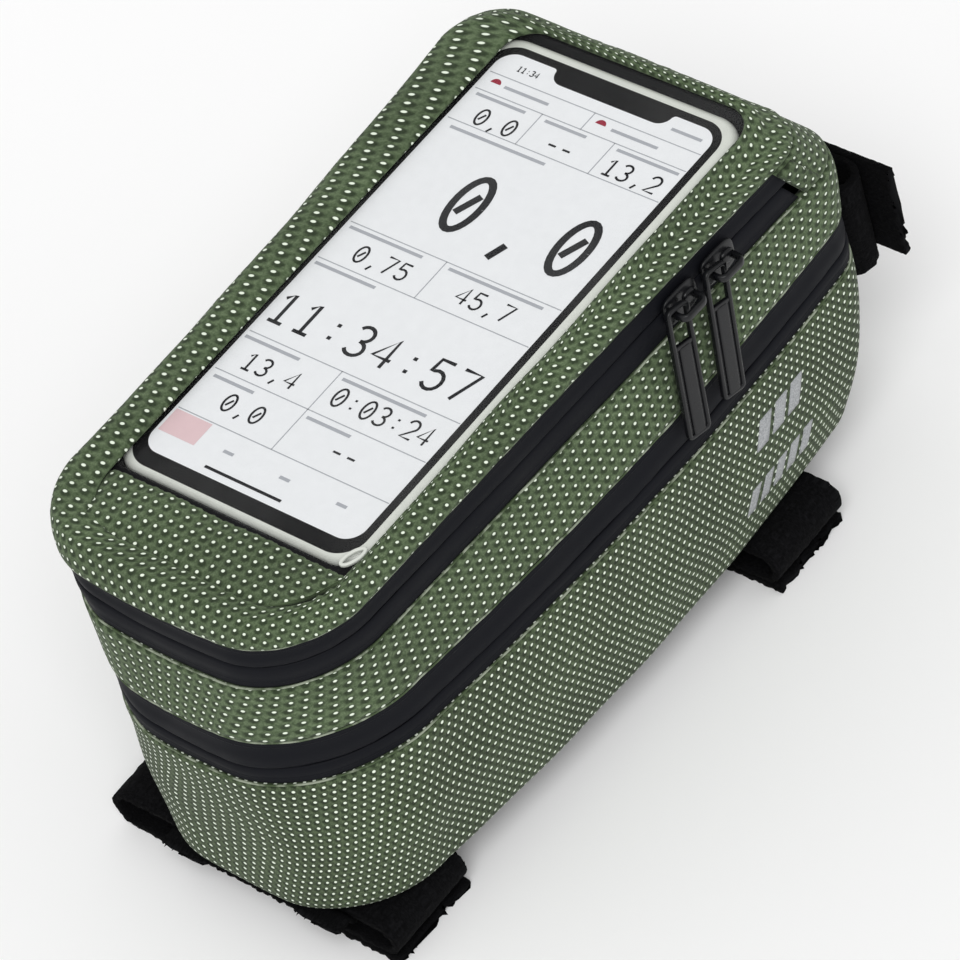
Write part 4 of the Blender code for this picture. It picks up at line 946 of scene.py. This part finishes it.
DIGITS = {
    "0": [arc(0.5, 0.5, 0.46, 0.5, 0, 360, 28), [(0.32, 0.3), (0.68, 0.7)]],
    "1": [[(0.15, 0.8), (0.52, 1.0), (0.52, 0.0)], [(0.15, 0.0), (0.9, 0.0)]],
    "2": [np.vstack([arc(0.5, 0.71, 0.44, 0.29, 165, -35), [(0.03, 0.0), (0.97, 0.0)]])],
    "3": [arc(0.46, 0.75, 0.42, 0.25, 150, -90), arc(0.46, 0.25, 0.46, 0.25, 90, -155)],
    "4": [[(0.74, 0.0), (0.74, 1.0), (0.0, 0.3), (0.98, 0.3)]],
    "5": [np.vstack([[(0.9, 1.0), (0.18, 1.0), (0.1, 0.56)], arc(0.48, 0.32, 0.46, 0.32, 120, -150)])],
    "7": [[(0.02, 1.0), (0.96, 1.0), (0.36, 0.0)]],
    "-": [[(0.1, 0.45), (0.8, 0.45)]],
    ",": [[(0.58, 0.12), (0.35, -0.18)]],
    ":": [[(0.4, 0.22), (0.6, 0.22)], [(0.4, 0.68), (0.6, 0.68)]],
}


def number(text, x, y, high, wide, advance, width):
    """Strokes of a plain number, centred on a place, with even steps from sign to sign."""
    starts = x + (np.arange(len(text)) - (len(text) - 1) / 2) * advance - wide / 2
    return [stroke(np.array(line) * (wide, high) + (start, y - high / 2), width, NUMBER_LEVEL)
            for sign, start in zip(text, starts) for line in DIGITS[sign]]


figures = []
for text, x, y in (("0,0", -19.5, 49.0), ("--", -0.1, 49.3), ("13,2", 21.3, 49.5), ("0,75", -16.0, 0.7),
                   ("45,7", 14.5, 1.3), ("13,4", -18.5, -37.8), ("0,0", -17.0, -50.0), ("--", 13.8, -50.0)):
    figures += number(text, x, y, 5.0, 3.1, 4.2, 0.6)
figures += number("0:03:24", 14.3, -36.8, 5.4, 3.2, 4.25, 0.6)
figures += number("0,0", 6.8, 24.8, 17.0, 8.3, 15.8, 2.0)
figures += number("11:34:57", -1.2, -21.0, 9.0, 5.4, 7.65, 1.0)
figures += number("11:34", -22.6, 65.9, 1.7, 1.0, 1.3, 0.3)
figures += [stroke([(-14.0, -67.6), (9.0, -67.6)], 0.8, NUMBER_LEVEL)]
on_display("display_numbers", figures, inked("display dark", 16, 17, 22))

# Sliders: cast metal in black enamel, each with a plate on both sides of the tapes, a web through the
# slit and an arched bridge. They ride on the zips by their plates.
METAL, metal = finish("black enamel", 0.3, 0.25, coat_weight=0.15, coat_roughness=0.15)
worn = metal.noise(metal.solid(), 500.0, 3.0)
metal.mottle(worn, (9, 9, 11), (22, 23, 26))
metal.feed("Roughness", metal.between(worn, 0.3, 0.7, 0.24, 0.4))


def squared(value, power):
    """A sine or cosine raised to a power below one, with its sign kept."""
    return np.sign(value) * abs(value) ** power


def pebble(centre, half, squareness=0.3, roundness=0.45):
    """A rounded block, in mm: x and y follow the cosine and sine of one angle, z that of a second,
    each raised to a power below one, which squares them off."""
    turn, rise = np.linspace(0, 2 * np.pi, 40, endpoint=False), np.linspace(-np.pi / 2, np.pi / 2, 21)

    reach = squared(np.cos(rise), roundness)[:, None]
    x, y = reach * squared(np.cos(turn), squareness), reach * squared(np.sin(turn), squareness)
    z = np.broadcast_to(squared(np.sin(rise), roundness)[:, None], x.shape)
    return patch((np.stack([x, y, z], axis=2) * half + centre) * MM, columns=True)


def rod(line, wide, thick, closed=False):
    """A bar along a line in the (x, z) plane, in mm: a rounded section, wide in the plane and thick
    across it, carried along the line."""
    line = np.array(line, float)
    normal = directions(line, closed)[1]
    angle = np.linspace(0, 2 * np.pi, 16, endpoint=False)
    out, aside = squared(np.cos(angle), 0.6) * wide / 2, squared(np.sin(angle), 0.6) * thick / 2
    plan = line[None] + normal[None] * out[:, None, None]
    points = np.stack([plan[:, :, 0], np.broadcast_to(aside[:, None], plan.shape[:2]), plan[:, :, 1]], axis=2)
    return patch(points * MM, True, closed, not closed)


def stood(patches, place, axes):
    """Patches turned from their own axes into the bag's and moved to a place."""
    return [(points @ np.array(axes) + place, *rest) for points, *rest in patches]


bridge = np.concatenate([[(-3.8, 1.2)], arc(-2.2, 4.4, 1.6, 1.6, 180, 90, 8), arc(2.2, 4.4, 1.6, 1.6, 90, 0, 8),
                         [(3.8, 1.2)]])
cast = [pebble((0, 0, 1.1), (5.75, 4.3, 0.6), 0.5), pebble((0, 0, -4.4), (4.6, 2.8, 0.6), 0.5),
        pebble((0, 0, -1.7), (2.5, 0.2, 3.0)), pebble((2.6, 0, 1.65), (2.2, 1.9, 0.9), 0.8, 0.7),
        rod(bridge, 1.4, 2.0)]

# Pulls: a frame of two bright rails, thin in the middle with a raised bar, which hangs by its window
# round the bridge's rear leg.
frame_line = np.concatenate([arc(2.0, 1.2, 1.2, 1.2, 0, 90, 6), arc(-2.0, 1.2, 1.2, 1.2, 90, 180, 6),
                             arc(-2.4, -31.6, 0.8, 0.8, 180, 270, 6), arc(2.4, -31.6, 0.8, 0.8, 270, 360, 6)])
hanging = [rod(frame_line, 1.2, 1.6, True), pebble((0, 0, -7.8), (3.0, 0.6, 0.6)),
           pebble((0, 0, -20.0), (3.0, 0.3, 12.4), 0.2, 0.2),
           pebble((0, 0, -20.3), (1.9, 0.8, 12.3), 0.25, 0.12)]
for label, right, place, along, pivot, across, up in (
        ("near", 1, (46.63, 41.0, 103.65), (0.04229, 0.99911, 0.0),
         (49.97, 37.06, 103.65), (0.06742, 0.97617, -0.20627), (-0.11378, 0.21291, 0.97042)),
        ("far", 1, (47.23, 55.0, 103.65), (0.04309, 0.99907, 0.0),
         (50.56, 51.05, 103.65), (0.06344, 0.97632, -0.20682), (-0.09122, 0.21204, 0.97299)),
        ("lower", -1, (-50.26, 40.0, 67.7), (-0.00038, 1.0, 0.0),
         (-53.76, 36.2, 67.7), (-0.01488, 0.97814, -0.20741), (0.06815, 0.20794, 0.97576))):
    upright = (along, (0.0, 0.0, 1.0), right * np.cross(along, (0.0, 0.0, 1.0)))
    hung = (across, right * np.cross(across, up), up)
    slider = surface(label + "_cast_slider", stood(cast, np.array(place) * MM, upright), METAL)
    dressed(slider, label + "_slider", label + "_slider")
    pull = surface(label + "_framed_pull", stood(hanging, np.array(pivot) * MM, hung), METAL)
    dressed(pull, label + "_pull", label + "_pull")

# Pale cord loop: a small pull at the near right corner of the window, thicker than the film.
turn = np.linspace(0, 2 * np.pi, 40, endpoint=False)
loop = rod(np.column_stack([3.2 * np.cos(turn), 1.3 * np.sin(turn)]), 0.9, 0.9, True)
tug = surface("pale_pull_loop", stood([loop], np.array((37.4, -63.4, 117.9)) * MM,
                                      ((0.34, 0.94, 0.0), (0.0, 0.0, 1.0), (0.94, -0.34, 0.0))), SHELL)
dressed(tug, "lid", None)

# Straps: black hook-and-loop webbing, one side fuzzy loops, folded round and stuck on itself.
WEBBING, webbing = finish("fuzzy webbing", 0.95, 0.08)
fuzz = webbing.noise(webbing.uv(), 1100.0, 4.0, 0.7)
clumps = webbing.add("ShaderNodeTexVoronoi", {"Vector": webbing.uv(), "Scale": 700.0}).outputs["Distance"]
webbing.mottle(webbing.between(fuzz, 0.35, 0.7), (4, 4, 5), (20, 20, 22))
webbing.relief(webbing.math("MULTIPLY_ADD", clumps, 0.7, fuzz), 0.9, 0.5)


def loop_line(left, right, bottom, top, overlap, tail):
    """Centreline of a flattened strap loop, in mm: from the loose end inside, round a half circle at
    the right, back along the top, round a half circle at the left, and out along the bottom."""
    inside = bottom + 2.3
    right_radius, left_radius = (top - inside) / 2, (top - bottom) / 2
    at_right = arc(right - right_radius, top - right_radius, right_radius, right_radius, -90, 90, 15)
    at_left = arc(left + left_radius, top - left_radius, left_radius, left_radius, 90, 270, 15)
    return np.concatenate([[(right + tail - overlap, inside)], at_right, at_left, [(right + tail, bottom)]])


def webbing_strip(name, node, line, width, place, seed, thickness=2.0):
    """A strap: a rounded flat cross-section carried along its centreline, with a fuzzy surface and
    ragged cut ends. The place turns (along, away, across) in mm into points."""
    run = run_along(line)
    even = np.linspace(0, run[-1], int(run[-1] / 0.8))
    path = at_distance(line, run, even)
    step, normal = directions(path)
    half, thin = width / 2, thickness / 2 - 0.06
    flat = np.linspace(-half + 0.3, half - 0.3, 34)
    across = np.concatenate([flat, [half, half], flat[::-1], [-half, -half]])
    away = np.concatenate([np.full(34, thin), [thin * 0.6, -thin * 0.6], np.full(34, -thin),
                           [-thin * 0.6, thin * 0.6]])
    random = np.random.default_rng(seed)
    fray = random.normal(0, 1, (len(across), len(even)))
    edge = (abs(across) > half - 0.5)[:, None]
    away = away[:, None] + fray * 0.06
    wide = across[:, None] + np.where(edge, fray * 0.16, 0.0)
    teeth = random.uniform(-1.0, 0.7, 34)
    teeth = np.concatenate([teeth, teeth[-1:], teeth[-1:], teeth[::-1], teeth[:1], teeth[:1]])[:, None]
    near_end = np.clip(1 - even / 2.4, 0, 1) * -1 + np.clip(1 - (even[-1] - even) / 2.4, 0, 1)
    drawn = teeth * near_end
    centre = path[None] + normal[None] * away[:, :, None] + step[None] * drawn[:, :, None]
    points = np.maximum(place(centre[:, :, 0], centre[:, :, 1], wide), (-1e3, -1e3, 0.0)) * MM
    v = np.append(across, across[0]) * MM + np.append(away[:, 0], away[0, 0]) * 30 * MM
    uv = uv_grid(np.append(even, even[-1]) * MM, v)
    made = surface(name, [patch(points, rows=True, caps=True, uv=uv)], WEBBING)
    dressed(made, "bag", node)


def under_bag(middle):
    """Places a strip that runs across under the base, centred on a given y."""
    return lambda along, away, across: np.stack([along, middle + across, away], axis=2)


for label, left, right, y, seed in (("rear", -50.0, 39.0, -79, 41), ("front", -53.0, 53.0, 55, 42)):
    webbing_strip(label + "_base_strap", label + "_strap", loop_line(left, right, 1.0, 12.0, 52.0, 0.0), 27.0,
                  under_bag(y), seed)

# Guides: narrow webbing bridges sewn to the base, over each strap's upper run.
bridge_line = np.array([(-19.3, 0.9), (-15.2, 0.9), (-14.5, 1.3), (-14.3, 2.4), (-13.6, 3.1)])
bridge_line = np.concatenate([bridge_line, bridge_line[::-1] * (-1, 1)])
for label, middle, seed in (("rear", -79.0, 51), ("front", 55.0, 53)):
    for side, hand in ((-21.0, "left"), (21.0, "right")):
        webbing_strip(f"{label}_bridge_{hand}", f"{label}_guide_{hand}", bridge_line, 14.0,
                      lambda along, away, across, middle=middle, side=side: np.stack(
                          [side + across, middle + along, 13.3 - away], axis=2), seed, 1.2)

# Head strap: the same webbing in an upright loop at the front wall, its loose end past the loop, with
# one wide guide sewn to the wall.
wall_y = 104.85
webbing_strip("head_tube_strap", "head_strap", loop_line(-43.0, 40.0, 1.0, 13.3, 48.0, 6.0), 30.0,
              lambda along, away, across: np.stack([along, wall_y + 14.6 - away, 58.5 + across], axis=2), 43)
head_line = bridge_line + np.where(bridge_line[:, :1] > 0, 1.5, -1.5) * (1, 0)
webbing_strip("head_bridge", "head_guide", head_line, 34.0,
              lambda along, away, across: np.stack([across, wall_y + away, 58.5 + along], axis=2), 55, 1.2)

# Floor and light: a plain pale floor and soft studio light at which colours render as written.
floor_mesh = bpy.data.meshes.new("floor")
floor_mesh.from_pydata([(-3, -3, 0), (3, -3, 0), (3, 3, 0), (-3, 3, 0)], [], [(0, 1, 2, 3)])
floor = bpy.data.objects.new("floor", floor_mesh)
bpy.context.scene.collection.objects.link(floor)
FLOOR, floor_finish = finish("pale floor", 0.9, 0.1)
floor_finish.feed("Base Color", linear(250, 250, 250))
floor_mesh.materials.append(FLOOR)
world = bpy.data.worlds.new("studio")
bpy.context.scene.world = world
world.use_nodes = True
world.node_tree.nodes["Background"].inputs[0].default_value = (1.0, 1.0, 1.0, 1.0)
world.node_tree.nodes["Background"].inputs[1].default_value = 0.68
sun_data = bpy.data.lights.new("key", "SUN")
sun_data.energy = 1.42
sun_data.angle = np.radians(35)
sun = bpy.data.objects.new("key", sun_data)
sun.rotation_euler = Vector((0.55, -0.55, 1.0)).to_track_quat("Z", "Y").to_euler()
bpy.context.scene.collection.objects.link(sun)
bpy.context.scene.view_settings.view_transform = "Standard"
